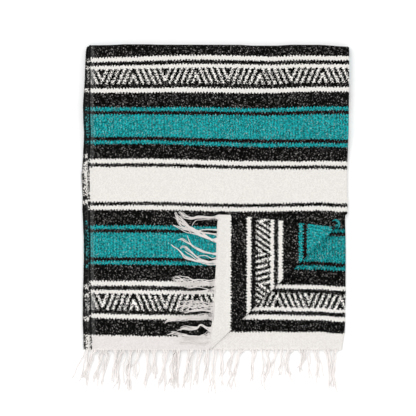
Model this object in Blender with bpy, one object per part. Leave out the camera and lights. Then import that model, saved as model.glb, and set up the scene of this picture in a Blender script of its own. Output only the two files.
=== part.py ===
"""A Mexican serape, folded and laid flat, with one corner turned back.

The blanket is one woven rectangle with a fringe at each end. It is folded side to side, then end to
end, and then the folded edge is tucked under, so four layers lie in the lower part of the stack and
eight in the upper part. The near end's two layers are turned back together at the lower right corner.

Metres, +Z up, +Y towards the tucked edge, +X along the stripes. The origin is on the flat underside.
"""
import math

import bmesh
import bpy
from mathutils import Matrix, Vector

# Driving sizes: the whole cut, and how it is folded.
CUT_WIDTH = 1.27
CUT_LENGTH = 1.88
TUCK = 0.20
PLY = 0.0026
GAP = 0.0003
HALF_GAP = GAP / 2

FOLDED_LENGTH = CUT_LENGTH / 2 - TUCK
BOTTOM = -0.371
TOP = BOTTOM + FOLDED_LENGTH
NOSE_AXIS = TOP - 4 * PLY
TUCK_END = TOP - TUCK
RAMP_TOP = TUCK_END - 0.004
RAMP_FOOT = RAMP_TOP - 0.070
RAMP_STEPS = 6

# Where the side edges lie along the stack: the top layer's selvage, the selvages under it, the fold of
# the upper pair of layers and the fold of the lower pair.
EDGES = (
    dict(y=-0.371, top_selvage=-0.3090, low_selvage=-0.3248, upper_fold=0.3160, lower_fold=0.3037),
    dict(y=-0.330, top_selvage=-0.3095, low_selvage=-0.3258, upper_fold=0.3160, lower_fold=0.3090),
    dict(y=-0.293, top_selvage=-0.3104, low_selvage=-0.3262, upper_fold=0.3160, lower_fold=0.3114),
    dict(y=-0.196, top_selvage=-0.3127, low_selvage=-0.3262, upper_fold=0.3160, lower_fold=0.3114),
    dict(y=-0.099, top_selvage=-0.3151, low_selvage=-0.3274, upper_fold=0.3158, lower_fold=0.3108),
    dict(y=-0.030, top_selvage=-0.3162, low_selvage=-0.3304, upper_fold=0.3156, lower_fold=0.3108),
    dict(y=0.095, top_selvage=-0.3151, low_selvage=-0.3272, upper_fold=0.3151, lower_fold=0.3120),
    dict(y=0.191, top_selvage=-0.3127, low_selvage=-0.3248, upper_fold=0.3185, lower_fold=0.3165),
    dict(y=0.288, top_selvage=-0.3120, low_selvage=-0.3211, upper_fold=0.3199, lower_fold=0.3185),
    dict(y=0.369, top_selvage=-0.3110, low_selvage=-0.3175, upper_fold=0.3194, lower_fold=0.3185),
)

# How far each hidden layer's selvage is drawn in from the outermost one, from the lowest layer up.
SELVAGE_STAGGER = (0.0022, 0.0045, 0.0)
LOBE_DEPTH = 0.0014
LOBE_LOW = 0.3
LOBE_HIGH = 0.75
END_GROOVE = 0.0014
BEAD_WIDTH = 0.005
BEAD_RISE = 0.0004
BEAD_CREST = 0.6
EDGE_ROUND = 0.001
UPPER_FOLD_TURNS = (30, 60, 90)
LOWER_FOLD_TURNS = (90, 55, 20, -20, -55, -90)

# The turned corner: the ends of its diagonal fold, and its tip, where the cloth's own corner lies.
DIAGONAL_START = Vector((-0.0149, BOTTOM))
DIAGONAL_END = Vector((0.3102, -0.0533))
CORNER_TIP = Vector((0.0, -0.0388))
FLAP_FOLD_REACH = 0.426
FLAP_CURL_REACH = 0.456
TIP_TRIM = 0.004
# The turned corner's selvage fold is crossed at a slant, so its rounding reaches further in.
OBLIQUE = 1.4
UNDER_LAYER_SHOW = 0.005
LOWER_LAYER_MARGIN = 0.012
LOWER_LAYER_TOP = 0.01
LOWER_LAYER_LEFT = -0.065

# Soft swells that lie across the whole stack: a share of the height there, and half widths.
SWELLS = (
    dict(x=-0.17, y=0.24, rise=0.05, reach_x=0.13, reach_y=0.07),
    dict(x=0.14, y=0.29, rise=-0.04, reach_x=0.12, reach_y=0.06),
    dict(x=0.05, y=0.08, rise=0.06, reach_x=0.16, reach_y=0.07),
    dict(x=-0.19, y=-0.02, rise=-0.06, reach_x=0.10, reach_y=0.08),
    dict(x=-0.16, y=-0.23, rise=0.08, reach_x=0.10, reach_y=0.09),
    dict(x=0.22, y=-0.24, rise=0.07, reach_x=0.08, reach_y=0.08),
    dict(x=0.11, y=-0.13, rise=0.06, reach_x=0.09, reach_y=0.09),
)
FOLD_PUFF = 0.10
FOLD_PUFF_REACH = 0.03

# Fringe: each row is one lock. "at" is its root along the edge, "lean" and "tip" are how far its middle
# and its end lie to the side of the root, and "reach" is how far it runs out from the edge.
STRIP_DEPTH = 0.004
STRIP_INSET = 0.0006
LOCK_DROP_PACE = 1.9
LOCK_WIDTH = 0.0050
LOCK_HEIGHT = 0.0019
LOCK_TAPER = 0.50
LOCK_STEPS = 5
FLOOR_REST = GAP + LOCK_HEIGHT / 2 + 0.0001
CORNER_STRIP_TRIM = 0.015
TOP_LAYER_LOCKS = (
    dict(at=0.008, lean=-0.004, tip=-0.018, reach=0.078),
    dict(at=0.023, lean=0.000, tip=-0.008, reach=0.070),
    dict(at=0.038, lean=-0.002, tip=-0.007, reach=0.086),
    dict(at=0.054, lean=-0.003, tip=-0.006, reach=0.060),
    dict(at=0.070, lean=-0.002, tip=-0.004, reach=0.092),
    dict(at=0.086, lean=-0.005, tip=-0.008, reach=0.066),
    dict(at=0.103, lean=-0.001, tip=-0.006, reach=0.074),
    dict(at=0.121, lean=-0.007, tip=-0.012, reach=0.083),
    dict(at=0.139, lean=-0.006, tip=-0.013, reach=0.064),
    dict(at=0.156, lean=0.003, tip=-0.001, reach=0.079),
    dict(at=0.174, lean=-0.001, tip=-0.006, reach=0.072),
    dict(at=0.192, lean=-0.002, tip=-0.009, reach=0.088),
    dict(at=0.211, lean=-0.001, tip=-0.013, reach=0.080),
    dict(at=0.230, lean=0.000, tip=-0.010, reach=0.062),
    dict(at=0.247, lean=0.000, tip=-0.011, reach=0.094),
    dict(at=0.264, lean=-0.007, tip=-0.013, reach=0.087),
    dict(at=0.280, lean=-0.005, tip=-0.009, reach=0.075),
)
LOWER_LAYER_LOCKS = (
    dict(at=0.009, lean=-0.012, tip=-0.033, reach=0.068),
    dict(at=0.032, lean=-0.003, tip=-0.014, reach=0.052),
    dict(at=0.078, lean=-0.003, tip=-0.006, reach=0.048),
    dict(at=0.1275, lean=-0.004, tip=-0.007, reach=0.050),
    dict(at=0.1825, lean=-0.001, tip=-0.002, reach=0.050),
    dict(at=0.236, lean=-0.001, tip=-0.006, reach=0.050),
    dict(at=0.320, lean=-0.004, tip=-0.008, reach=0.082),
    dict(at=0.330, lean=0.002, tip=-0.001, reach=0.070),
    dict(at=0.364, lean=-0.004, tip=-0.015, reach=0.080),
    dict(at=0.377, lean=-0.004, tip=-0.012, reach=0.058),
    dict(at=0.418, lean=-0.006, tip=-0.013, reach=0.064),
    dict(at=0.430, lean=-0.002, tip=0.000, reach=0.088),
    dict(at=0.443, lean=0.002, tip=0.005, reach=0.070),
    dict(at=0.469, lean=-0.005, tip=-0.017, reach=0.052),
    dict(at=0.480, lean=-0.004, tip=-0.006, reach=0.056),
    dict(at=0.498, lean=-0.007, tip=-0.001, reach=0.064),
    dict(at=0.508, lean=-0.002, tip=0.000, reach=0.050),
    dict(at=0.537, lean=-0.003, tip=-0.009, reach=0.042),
    dict(at=0.548, lean=0.004, tip=0.006, reach=0.072),
    dict(at=0.562, lean=0.002, tip=0.009, reach=0.078),
    dict(at=0.593, lean=0.004, tip=0.003, reach=0.054),
    dict(at=0.604, lean=0.002, tip=0.006, reach=0.086),
    dict(at=0.615, lean=-0.002, tip=-0.001, reach=0.060),
)
TURNED_CORNER_LOCKS = (
    dict(at=0.010, lean=0.002, tip=-0.015, reach=0.090),
    dict(at=0.024, lean=0.002, tip=-0.018, reach=0.074),
    dict(at=0.055, lean=0.004, tip=-0.060, reach=0.107),
    dict(at=0.064, lean=0.004, tip=-0.060, reach=0.098),
    dict(at=0.095, lean=0.001, tip=-0.053, reach=0.078),
    dict(at=0.107, lean=0.003, tip=-0.046, reach=0.097),
    dict(at=0.117, lean=0.004, tip=-0.037, reach=0.085),
    dict(at=0.127, lean=0.004, tip=-0.040, reach=0.109),
    dict(at=0.162, lean=0.001, tip=-0.019, reach=0.104),
    dict(at=0.171, lean=0.002, tip=-0.015, reach=0.096),
    dict(at=0.184, lean=0.004, tip=-0.005, reach=0.082),
    dict(at=0.201, lean=0.000, tip=0.001, reach=0.073),
    dict(at=0.228, lean=0.002, tip=-0.010, reach=0.078),
    dict(at=0.245, lean=-0.004, tip=0.015, reach=0.097),
    dict(at=0.274, lean=0.002, tip=0.004, reach=0.082),
    dict(at=0.296, lean=0.000, tip=-0.003, reach=0.097),
)

COLOURS = dict(
    top_layer=(0.06, 0.30, 0.30),
    turned_corner=(0.05, 0.34, 0.34),
    corner_under_layer=(0.70, 0.68, 0.64),
    lower_layer=(0.03, 0.20, 0.22),
    hidden_layers=(0.03, 0.03, 0.03),
    fringe=(0.80, 0.77, 0.72),
)
CLOTH_ROUGHNESS = 0.95

NOSE_STEPS = 8
FLAT_STEP = 0.05
FLAP_STEP = 0.022
FOLD_ARC = (60, 30, 0)
COLUMN_SHARES = (0.0, 0.10, 0.21, 0.32, 0.43, 0.54, 0.65, 0.76, 0.86, 0.93, 0.97, 1.0)
MERGE_DISTANCE = 0.000001
FAR = 0.7
ABOVE_STACK = 12 * PLY


# Shared rules of the folded stack.
def edge_at(name, y):
    """Read one column of the edge table at y, straight between its rows."""
    if y <= EDGES[0]["y"]:
        return EDGES[0][name]
    for low, high in zip(EDGES, EDGES[1:]):
        if y <= high["y"]:
            share = (y - low["y"]) / (high["y"] - low["y"])
            return low[name] + share * (high[name] - low[name])
    return EDGES[-1][name]


def smooth(share):
    share = min(1.0, max(0.0, share))
    return share * share * (3 - 2 * share)


def stack_base(y):
    """Height of the upper four layers' underside: they climb onto the tucked layers."""
    return 4 * PLY * smooth((y - RAMP_FOOT) / (RAMP_TOP - RAMP_FOOT))


def settle(point):
    """Let the stack swell softly and puff up along its folds; the floor plane stays flat."""
    rise = 0.0
    for swell in SWELLS:
        across = (point.x - swell["x"]) / swell["reach_x"]
        along = (point.y - swell["y"]) / swell["reach_y"]
        rise += swell["rise"] * math.exp(-across * across - along * along)
    from_fold = max(0.0, edge_at("lower_fold", point.y) - point.x) / FOLD_PUFF_REACH
    from_nose = max(0.0, TOP - point.y) / FOLD_PUFF_REACH
    rise += FOLD_PUFF * (math.exp(-from_fold * from_fold) + math.exp(-from_nose * from_nose)) / 2
    return Vector((point.x, point.y, point.z * (1 + rise)))


def flat_stations():
    """Places along Y for the rings: even steps, and closer ones where the stack climbs."""
    places = []
    for start, end in ((BOTTOM, RAMP_FOOT), (TUCK_END + GAP, NOSE_AXIS)):
        count = math.ceil((end - start) / FLAT_STEP)
        places += [start + (end - start) * i / count for i in range(count + 1)]
    climb = RAMP_TOP - RAMP_FOOT
    ramp = [RAMP_FOOT + climb * i / RAMP_STEPS for i in range(1, RAMP_STEPS + 1)]
    return sorted(places + ramp + [TUCK_END])


def columns(left, right):
    return [left + share * (right - left) for share in COLUMN_SHARES]


# Mesh and object helpers.
def skin(rings):
    """Join closed rings into a tube; the open ends are filled later."""
    bm = bmesh.new()
    rows = [[bm.verts.new(point) for point in ring] for ring in rings]
    for near, far in zip(rows, rows[1:]):
        for i in range(len(near)):
            j = (i + 1) % len(near)
            bm.faces.new((near[i], near[j], far[j], far[i]))
    return bm


def close_mesh(bm):
    bmesh.ops.remove_doubles(bm, verts=bm.verts[:], dist=MERGE_DISTANCE)
    open_edges = [edge for edge in bm.edges if edge.is_boundary]
    if open_edges:
        bmesh.ops.holes_fill(bm, edges=open_edges)
    bmesh.ops.recalc_face_normals(bm, faces=bm.faces[:])


def add_object(name, bm, collection):
    mesh = bpy.data.meshes.new(name)
    bm.to_mesh(mesh)
    bm.free()
    piece = bpy.data.objects.new(name, mesh)
    collection.objects.link(piece)
    return piece


def add_cutter(name, bm):
    cutter = add_object(name, bm, cutters)
    cutter.hide_render = True
    cutter.display_type = "WIRE"
    return cutter


def add_material(piece, colour):
    material = bpy.data.materials.new(piece.name)
    material.use_nodes = True
    shader = material.node_tree.nodes["Principled BSDF"]
    shader.inputs["Base Color"].default_value = (*colour, 1.0)
    shader.inputs["Roughness"].default_value = CLOTH_ROUGHNESS
    shader.inputs["Metallic"].default_value = 0.0
    piece.data.materials.append(material)


def cut(piece, cutter):
    """Take a cutter away from a piece, and drop the cutter."""
    boolean = piece.modifiers.new("cut", "BOOLEAN")
    boolean.operation = "DIFFERENCE"
    boolean.solver = "EXACT"
    boolean.object = cutter
    evaluated = piece.evaluated_get(bpy.context.evaluated_depsgraph_get())
    mesh = bpy.data.meshes.new_from_object(evaluated)
    piece.modifiers.remove(boolean)
    piece.data = mesh
    bpy.data.objects.remove(cutter)


def settle_piece(piece):
    """Split the faces into triangles, then bend them with the swells."""
    bm = bmesh.new()
    bm.from_mesh(piece.data)
    bmesh.ops.triangulate(bm, faces=bm.faces[:])
    for vert in bm.verts:
        vert.co = settle(vert.co)
    bm.to_mesh(piece.data)
    bm.free()


# The diagonal fold's own frame: p runs along it from its lower end, q away from it towards the tip.
ALONG = (DIAGONAL_END - DIAGONAL_START).normalized()
INWARD = Vector((-ALONG.y, ALONG.x))
CREASE_Q = 2 * PLY
CREASE_HEIGHT = 4 * PLY + HALF_GAP
TIP_P = (CORNER_TIP - DIAGONAL_START).dot(ALONG)
TIP_Q = (CORNER_TIP - DIAGONAL_START).dot(INWARD)


def corner_point(p, q, height):
    place = DIAGONAL_START + ALONG * p + INWARD * q
    return Vector((place.x, place.y, height))


def diagonal_box(name, q_to, low, high, beyond=False):
    """A box on one side of a line parallel to the diagonal fold, used to cut other pieces."""
    q_low, q_high = (q_to, FAR) if beyond else (-FAR, q_to)
    centre = corner_point(TIP_P, (q_low + q_high) / 2, (low + high) / 2)
    turn = Matrix.Rotation(math.atan2(ALONG.y, ALONG.x), 4, "Z")
    size = Matrix.Diagonal((2 * FAR, q_high - q_low, high - low, 1.0))
    bm = bmesh.new()
    bmesh.ops.create_cube(bm, size=1.0, matrix=Matrix.Translation(centre) @ turn @ size)
    return add_cutter(name, bm)


# The hidden layers: one solid, lobed along its sides where the layers' edges lie on each other.
def hidden_chain(y):
    """Half of a ring: up the selvages, across the top and down the folds, as (x, height) pairs."""
    selvage = edge_at("low_selvage", y)
    chain = []
    for layer, drawn_in in enumerate(SELVAGE_STAGGER):
        edge = selvage + drawn_in
        chain.append((edge + LOBE_DEPTH, layer * PLY))
        chain.append((edge, (layer + LOBE_LOW) * PLY))
        chain.append((edge, (layer + LOBE_HIGH) * PLY))
    upper_fold = edge_at("upper_fold", y)
    lower_fold = edge_at("lower_fold", y)
    chain += [(x, 3 * PLY) for x in columns(selvage + LOBE_DEPTH, upper_fold - HALF_GAP)]
    for degrees in UPPER_FOLD_TURNS:
        turn = math.radians(degrees)
        chain.append((upper_fold - PLY + PLY * math.cos(turn), 3 * PLY - PLY * math.sin(turn)))
    for degrees in LOWER_FOLD_TURNS:
        turn = math.radians(degrees)
        chain.append((lower_fold - PLY + PLY * math.cos(turn), PLY + PLY * math.sin(turn)))
    return chain


def hidden_ring(y):
    """A whole ring. Its lower half is the tucked layers, which thin away to the floor's own line."""
    base = stack_base(y)
    floor = PLY if y > TUCK_END else 0.0
    chain = hidden_chain(y)
    ring = [Vector((x, y, base + height)) for x, height in chain]
    shrink = (base - floor) / (3 * PLY)
    spread = min(1.0, shrink)
    left, right = chain[0][0], chain[-1][0]
    top_left = chain[3 * len(SELVAGE_STAGGER)][0]
    top_right = edge_at("upper_fold", y) - HALF_GAP
    for x, height in reversed(chain[1:-1]):
        if height < 3 * PLY:
            on_floor = left if x < (left + right) / 2 else right
        else:
            on_floor = left + (right - left) * (x - top_left) / (top_right - top_left)
        ring.append(Vector((on_floor + (x - on_floor) * spread, y, base - height * shrink)))
    return ring


def end_groove(height):
    """A square bar on edge that parts two layers along the cut end."""
    bm = bmesh.new()
    turn = Matrix.Rotation(math.radians(45), 4, "X")
    size = Matrix.Diagonal((CUT_WIDTH, END_GROOVE, END_GROOVE, 1.0))
    place = Matrix.Translation((0.0, BOTTOM, height))
    bmesh.ops.create_cube(bm, size=1.0, matrix=place @ turn @ size)
    return add_cutter("end_groove", bm)


def build_hidden_layers():
    bm = skin([hidden_ring(y) for y in flat_stations()])
    chain = hidden_chain(NOSE_AXIS)
    rows = []
    for step in range(NOSE_STEPS + 1):
        turn = math.pi * step / NOSE_STEPS
        rows.append([
            bm.verts.new((x, NOSE_AXIS + height * math.sin(turn), 4 * PLY + height * math.cos(turn)))
            for x, height in chain
        ])
    for near, far in zip(rows, rows[1:]):
        for i in range(len(near) - 1):
            bm.faces.new((near[i], near[i + 1], far[i + 1], far[i]))
    close_mesh(bm)
    piece = add_object("hidden_layers", bm, serape)
    for layer in (1, 2):
        cut(piece, end_groove(layer * PLY + GAP))
    cut(piece, diagonal_box("upper_corner_cut", CREASE_Q + GAP, 1.5 * PLY, ABOVE_STACK))
    cut(piece, diagonal_box("lower_corner_cut", LOWER_LAYER_MARGIN, PLY - HALF_GAP, 2 * PLY + GAP))
    return piece


# The top layer: a wall with a corded selvage on the left and the upper half of the fold on the right,
# carried over the folded edge and under the stack.
def top_layer_section(y):
    left = edge_at("top_selvage", y)
    right = edge_at("upper_fold", y)
    low, high = 3 * PLY + GAP, 4 * PLY
    middle = (low + high) / 2
    inner = columns(left + BEAD_WIDTH, right - PLY)
    section = [(left + EDGE_ROUND, low), (left, middle), (left + EDGE_ROUND, high + BEAD_RISE / 2)]
    section += [(left + BEAD_CREST * BEAD_WIDTH, high + BEAD_RISE)]
    section += [(x, high) for x in inner]
    for degrees in FOLD_ARC:
        turn = math.radians(degrees)
        section.append((right - PLY + PLY * math.cos(turn), low + (high - low) * math.sin(turn)))
    section += [(x, low) for x in reversed(inner)]
    return section


def build_top_layer():
    rings = []
    for y in flat_stations():
        rings.append([Vector((x, y, stack_base(y) + n)) for x, n in top_layer_section(y)])
    for step in range(1, NOSE_STEPS):
        turn = math.pi * step / NOSE_STEPS
        rings.append([
            Vector((x, NOSE_AXIS + n * math.sin(turn), 4 * PLY + n * math.cos(turn)))
            for x, n in top_layer_section(NOSE_AXIS)
        ])
    for y in reversed([y for y in flat_stations() if y > TUCK_END]):
        rings.append([Vector((x, y, max(0.0, 4 * PLY - n))) for x, n in top_layer_section(y)])
    for point in rings[-1]:
        point.y += GAP
    bm = skin(rings)
    close_mesh(bm)
    piece = add_object("top_layer", bm, serape)
    cut(piece, diagonal_box("top_corner_cut", CREASE_Q + GAP, -PLY, ABOVE_STACK))
    return piece


# The lower layer: the stretch that the turned corner uncovers.
def build_lower_layer():
    low, high = PLY + HALF_GAP, 2 * PLY
    rings = []
    for y in [y for y in flat_stations() if y < LOWER_LAYER_TOP]:
        right = edge_at("lower_fold", y)
        inner = columns(LOWER_LAYER_LEFT, right - PLY)
        section = [(x, high) for x in inner]
        for degrees in FOLD_ARC:
            turn = math.radians(degrees)
            section.append((right - PLY + PLY * math.cos(turn), low + (high - low) * math.sin(turn)))
        section += [(x, low) for x in reversed(inner)]
        rings.append([Vector((x, y, z)) for x, z in section])
    bm = skin(rings)
    close_mesh(bm)
    piece = add_object("lower_layer", bm, serape)
    cut(piece, diagonal_box("lower_layer_cut", LOWER_LAYER_MARGIN - GAP, -PLY, ABOVE_STACK, beyond=True))
    return piece


# The turned corner: two layers carried round the diagonal fold and laid back over the top layer.
def corner_stations():
    """Steps round the crease, as a turn in radians and a distance laid flat beyond it."""
    steps = [(math.pi * (1 - i / NOSE_STEPS), 0.0) for i in range(NOSE_STEPS + 1)]
    reach = TIP_Q - CREASE_Q - TIP_TRIM
    count = math.ceil(reach / FLAP_STEP)
    steps += [(0.0, reach * i / count) for i in range(1, count + 1)]
    return steps


def corner_ring(turn, beyond, low, high, left_show, right_draw):
    """One ring of a corner layer that lies between two distances from the crease's axis."""
    share = (beyond + CREASE_Q) / TIP_Q if beyond else CREASE_Q / TIP_Q * (1 - turn / math.pi)
    fold_end = FLAP_FOLD_REACH + (FLAP_CURL_REACH - FLAP_FOLD_REACH) * turn / math.pi
    left = TIP_P * share - left_show
    right = fold_end + (TIP_P - fold_end) * share - right_draw
    middle = (low + high) / 2
    inner = columns(left + 2 * EDGE_ROUND, right - OBLIQUE * PLY)
    section = [(left + EDGE_ROUND, low), (left, middle), (left + EDGE_ROUND, high)]
    section += [(p, high) for p in inner]
    for degrees in FOLD_ARC:
        angle = math.radians(degrees)
        drawn_in = OBLIQUE * PLY * (1 - math.cos(angle))
        section.append((right - drawn_in, low + (high - low) * math.sin(angle)))
    section += [(p, low) for p in reversed(inner)]
    ring = []
    for p, n in section:
        q = CREASE_Q + beyond - n * math.sin(turn)
        ring.append(corner_point(p, q, CREASE_HEIGHT + n * math.cos(turn)))
    return ring


def build_corner_layer(name, low, high, left_show, right_draw):
    rings = [corner_ring(turn, beyond, low, high, left_show, right_draw)
             for turn, beyond in corner_stations()]
    bm = skin(rings)
    close_mesh(bm)
    return add_object(name, bm, serape)


# Fringe: locks drawn out of a narrow strip that runs along a cut end.
def build_fringe(name, start, end, low, high, rest_height, locks):
    """Locks lean along the edge from start to end and run out to its right-hand side."""
    edge = (end - start).normalized()
    length = (end - start).length
    out = Vector((edge.y, -edge.x))
    marks = [(0.0, None)]
    for lock in sorted(locks, key=lambda row: row["at"]):
        marks.append((lock["at"] - LOCK_WIDTH / 2, lock))
        marks.append((lock["at"] + LOCK_WIDTH / 2, None))
    marks.append((length, None))
    bm = bmesh.new()
    rows = []
    for at, lock in marks:
        corners = []
        for depth, height in ((GAP, low), (GAP, high), (GAP + STRIP_DEPTH, high), (GAP + STRIP_DEPTH, low)):
            place = start + edge * at + out * depth
            corners.append(bm.verts.new((place.x, place.y, height)))
        rows.append(corners)
    roots = []
    for (at, lock), near, far in zip(marks, rows, rows[1:]):
        for i in range(4):
            j = (i + 1) % 4
            face = bm.faces.new((near[i], near[j], far[j], far[i]))
            if lock and i == 2:
                roots.append((face, lock))
    for corners in (rows[0], rows[-1]):
        bm.faces.new(corners)
    bmesh.ops.recalc_face_normals(bm, faces=bm.faces[:])
    for face, lock in roots:
        draw_lock(bm, face, lock, start, edge, out, (low + high) / 2, rest_height)
    bmesh.ops.recalc_face_normals(bm, faces=bm.faces[:])
    return add_object(name, bm, serape)


def draw_lock(bm, face, lock, start, edge, out, root_height, rest_height):
    """Extrude one lock: it drops from the cloth's edge and lies on what is below it, to a thin end."""
    for step in range(1, LOCK_STEPS + 1):
        share = step / LOCK_STEPS
        face = bmesh.ops.extrude_discrete_faces(bm, faces=[face])["faces"][0]
        sideways = lock["lean"] * math.sin(math.pi * share) + lock["tip"] * share * share
        away = GAP + STRIP_DEPTH + (lock["reach"] - STRIP_DEPTH) * share
        height = rest_height + (root_height - rest_height) * (1 - smooth(share * LOCK_DROP_PACE))
        width = LOCK_WIDTH * (1 - (1 - LOCK_TAPER) * share)
        thick = LOCK_HEIGHT * (1 - (1 - LOCK_TAPER) * share)
        centre = face.calc_center_median()
        for vert in face.verts:
            offset = vert.co - centre
            side = math.copysign(width / 2, offset.x * edge.x + offset.y * edge.y)
            up = math.copysign(thick / 2, offset.z)
            place = start + edge * (lock["at"] + sideways + side) + out * away
            vert.co = Vector((place.x, place.y, height + up))


# Assembly.
for old in list(bpy.data.objects):
    bpy.data.objects.remove(old)
serape = bpy.data.collections.new("folded_serape")
cutters = bpy.data.collections.new("cutters")
bpy.context.scene.collection.children.link(serape)
bpy.context.scene.collection.children.link(cutters)

pieces = [
    build_hidden_layers(),
    build_top_layer(),
    build_lower_layer(),
    build_corner_layer("turned_corner", PLY + HALF_GAP, 2 * PLY - HALF_GAP, 0.0, 0.0),
    build_corner_layer("corner_under_layer", HALF_GAP, PLY - HALF_GAP, UNDER_LAYER_SHOW, HALF_GAP),
    build_fringe(
        "fringe_top_layer",
        start=Vector((edge_at("top_selvage", BOTTOM) + STRIP_INSET, BOTTOM)),
        end=Vector((DIAGONAL_START.x - 2 * CREASE_Q, BOTTOM)),
        low=3 * PLY + GAP, high=4 * PLY, rest_height=FLOOR_REST, locks=TOP_LAYER_LOCKS),
    build_fringe(
        "fringe_lower_layer",
        start=Vector((edge_at("low_selvage", BOTTOM) + STRIP_INSET, BOTTOM)),
        end=Vector((edge_at("lower_fold", BOTTOM) - STRIP_INSET, BOTTOM)),
        low=PLY + GAP, high=2 * PLY, rest_height=FLOOR_REST, locks=LOWER_LAYER_LOCKS),
    build_fringe(
        "fringe_turned_corner",
        start=CORNER_TIP + (DIAGONAL_START - CORNER_TIP) * CORNER_STRIP_TRIM,
        end=DIAGONAL_START + (CORNER_TIP - DIAGONAL_START) * 3 * CORNER_STRIP_TRIM,
        low=CREASE_HEIGHT + PLY + HALF_GAP, high=CREASE_HEIGHT + 2 * PLY - HALF_GAP,
        rest_height=4 * PLY + FLOOR_REST, locks=TURNED_CORNER_LOCKS),
]
for piece in pieces:
    settle_piece(piece)
    add_material(piece, COLOURS["fringe" if piece.name.startswith("fringe") else piece.name])
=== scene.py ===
import math
import random

import bmesh
import bpy
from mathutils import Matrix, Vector, noise


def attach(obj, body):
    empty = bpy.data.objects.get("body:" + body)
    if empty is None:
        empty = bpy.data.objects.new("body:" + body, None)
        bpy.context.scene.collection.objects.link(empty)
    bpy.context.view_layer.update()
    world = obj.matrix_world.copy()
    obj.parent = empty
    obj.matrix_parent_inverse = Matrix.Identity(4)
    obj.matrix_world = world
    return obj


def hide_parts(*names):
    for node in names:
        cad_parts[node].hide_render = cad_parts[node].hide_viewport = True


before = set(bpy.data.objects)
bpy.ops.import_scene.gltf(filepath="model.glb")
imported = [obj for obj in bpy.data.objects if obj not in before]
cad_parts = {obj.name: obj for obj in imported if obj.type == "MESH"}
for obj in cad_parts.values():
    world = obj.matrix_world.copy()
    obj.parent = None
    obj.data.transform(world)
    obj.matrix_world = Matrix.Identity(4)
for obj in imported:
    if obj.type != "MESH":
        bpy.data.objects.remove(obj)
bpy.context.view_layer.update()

# The hidden layers of the folded stack.
# The serape is one woven rectangle, folded side to side, then end to end, with the fold tucked under.
# Wool-like yarn, beaten down until only the weft shows; these layers show only along the stack's sides.
CUT_WIDTH = 1.27
CUT_LENGTH = 1.88
PLY = 0.0026
GAP = 0.0003
SLACK = 0.0001
BOTTOM = -0.371
TOP = BOTTOM + 0.74
NOSE_AXIS = TOP - 4 * PLY
TUCK_END = TOP - 0.20
RAMP_TOP = TUCK_END - 0.004
RAMP_FOOT = RAMP_TOP - 0.070
FLAT_RUN = NOSE_AXIS - BOTTOM
NOSE_RUN = math.pi * 3.5 * PLY
WHOLE_RUN = FLAT_RUN + NOSE_RUN + NOSE_AXIS - TUCK_END

# The diagonal fold of the turned corner: to its lower right, the upper two layers are folded away.
DIAGONAL_START = Vector((-0.0149, BOTTOM))
DIAGONAL_END = Vector((0.3102, -0.0533))
ALONG = (DIAGONAL_END - DIAGONAL_START).normalized()
INWARD = Vector((-ALONG.y, ALONG.x))
CREASE_Q = 2 * PLY

# The upper left corner of the stack is rounded: its layers draw in towards this line near the tucked edge.
CORNER_LINE = -0.3065
CORNER_REACH = 0.0245


def rows_of(names, *rows):
    """A table as one dict for each row, with its columns named."""
    return [dict(zip(names.split(), row)) for row in rows]


# Where the side edges lie along the stack.
EDGES = rows_of(
    "y top_selvage low_selvage upper_fold lower_fold",
    (-0.371, -0.309, -0.3248, 0.316, 0.3037), (-0.33, -0.3095, -0.3258, 0.316, 0.309),
    (-0.293, -0.3104, -0.3268, 0.316, 0.3114), (-0.196, -0.3125, -0.3256, 0.316, 0.3122),
    (-0.144, -0.3122, -0.324, 0.3159, 0.3122), (-0.099, -0.3127, -0.3244, 0.3158, 0.3118),
    (-0.03, -0.3138, -0.3276, 0.3164, 0.3108), (0.003, -0.3137, -0.3267, 0.316, 0.3111),
    (0.052, -0.3151, -0.3298, 0.3157, 0.3116), (0.095, -0.3144, -0.3262, 0.3166, 0.312),
    (0.153, -0.3112, -0.3231, 0.3182, 0.3147), (0.191, -0.3122, -0.3248, 0.3193, 0.3165),
    (0.219, -0.3125, -0.3256, 0.3193, 0.3171), (0.288, -0.312, -0.3211, 0.3199, 0.3185),
    (0.369, -0.311, -0.3175, 0.3194, 0.3185),
)
EDGE_ROWS = [row["y"] for row in EDGES]
EDGE_WAVER = 0.0006
EDGE_WAVERS = 26
SELVAGE_STAGGER = (0.0022, 0.0045, 0.0)

# Soft swells that lie across the whole stack, as a share of its height there.
SWELLS = rows_of(
    "x y rise reach_x reach_y",
    (-0.17, 0.24, 0.05, 0.13, 0.07), (0.14, 0.29, -0.04, 0.12, 0.06), (0.05, 0.08, 0.06, 0.16, 0.07),
    (-0.19, -0.02, -0.06, 0.1, 0.08), (-0.16, -0.23, 0.08, 0.1, 0.09), (0.22, -0.24, 0.07, 0.08, 0.08),
    (0.11, -0.13, 0.06, 0.09, 0.09),
)
FOLD_PUFF = 0.10
FOLD_PUFF_REACH = 0.03

# Its small unevenness: share of the height, how close-set across and along the stack, and where it starts.
UNEVENNESS = ((0.045, 11, 15, 3.1), (0.03, 34, 27, 7.7))

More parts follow.
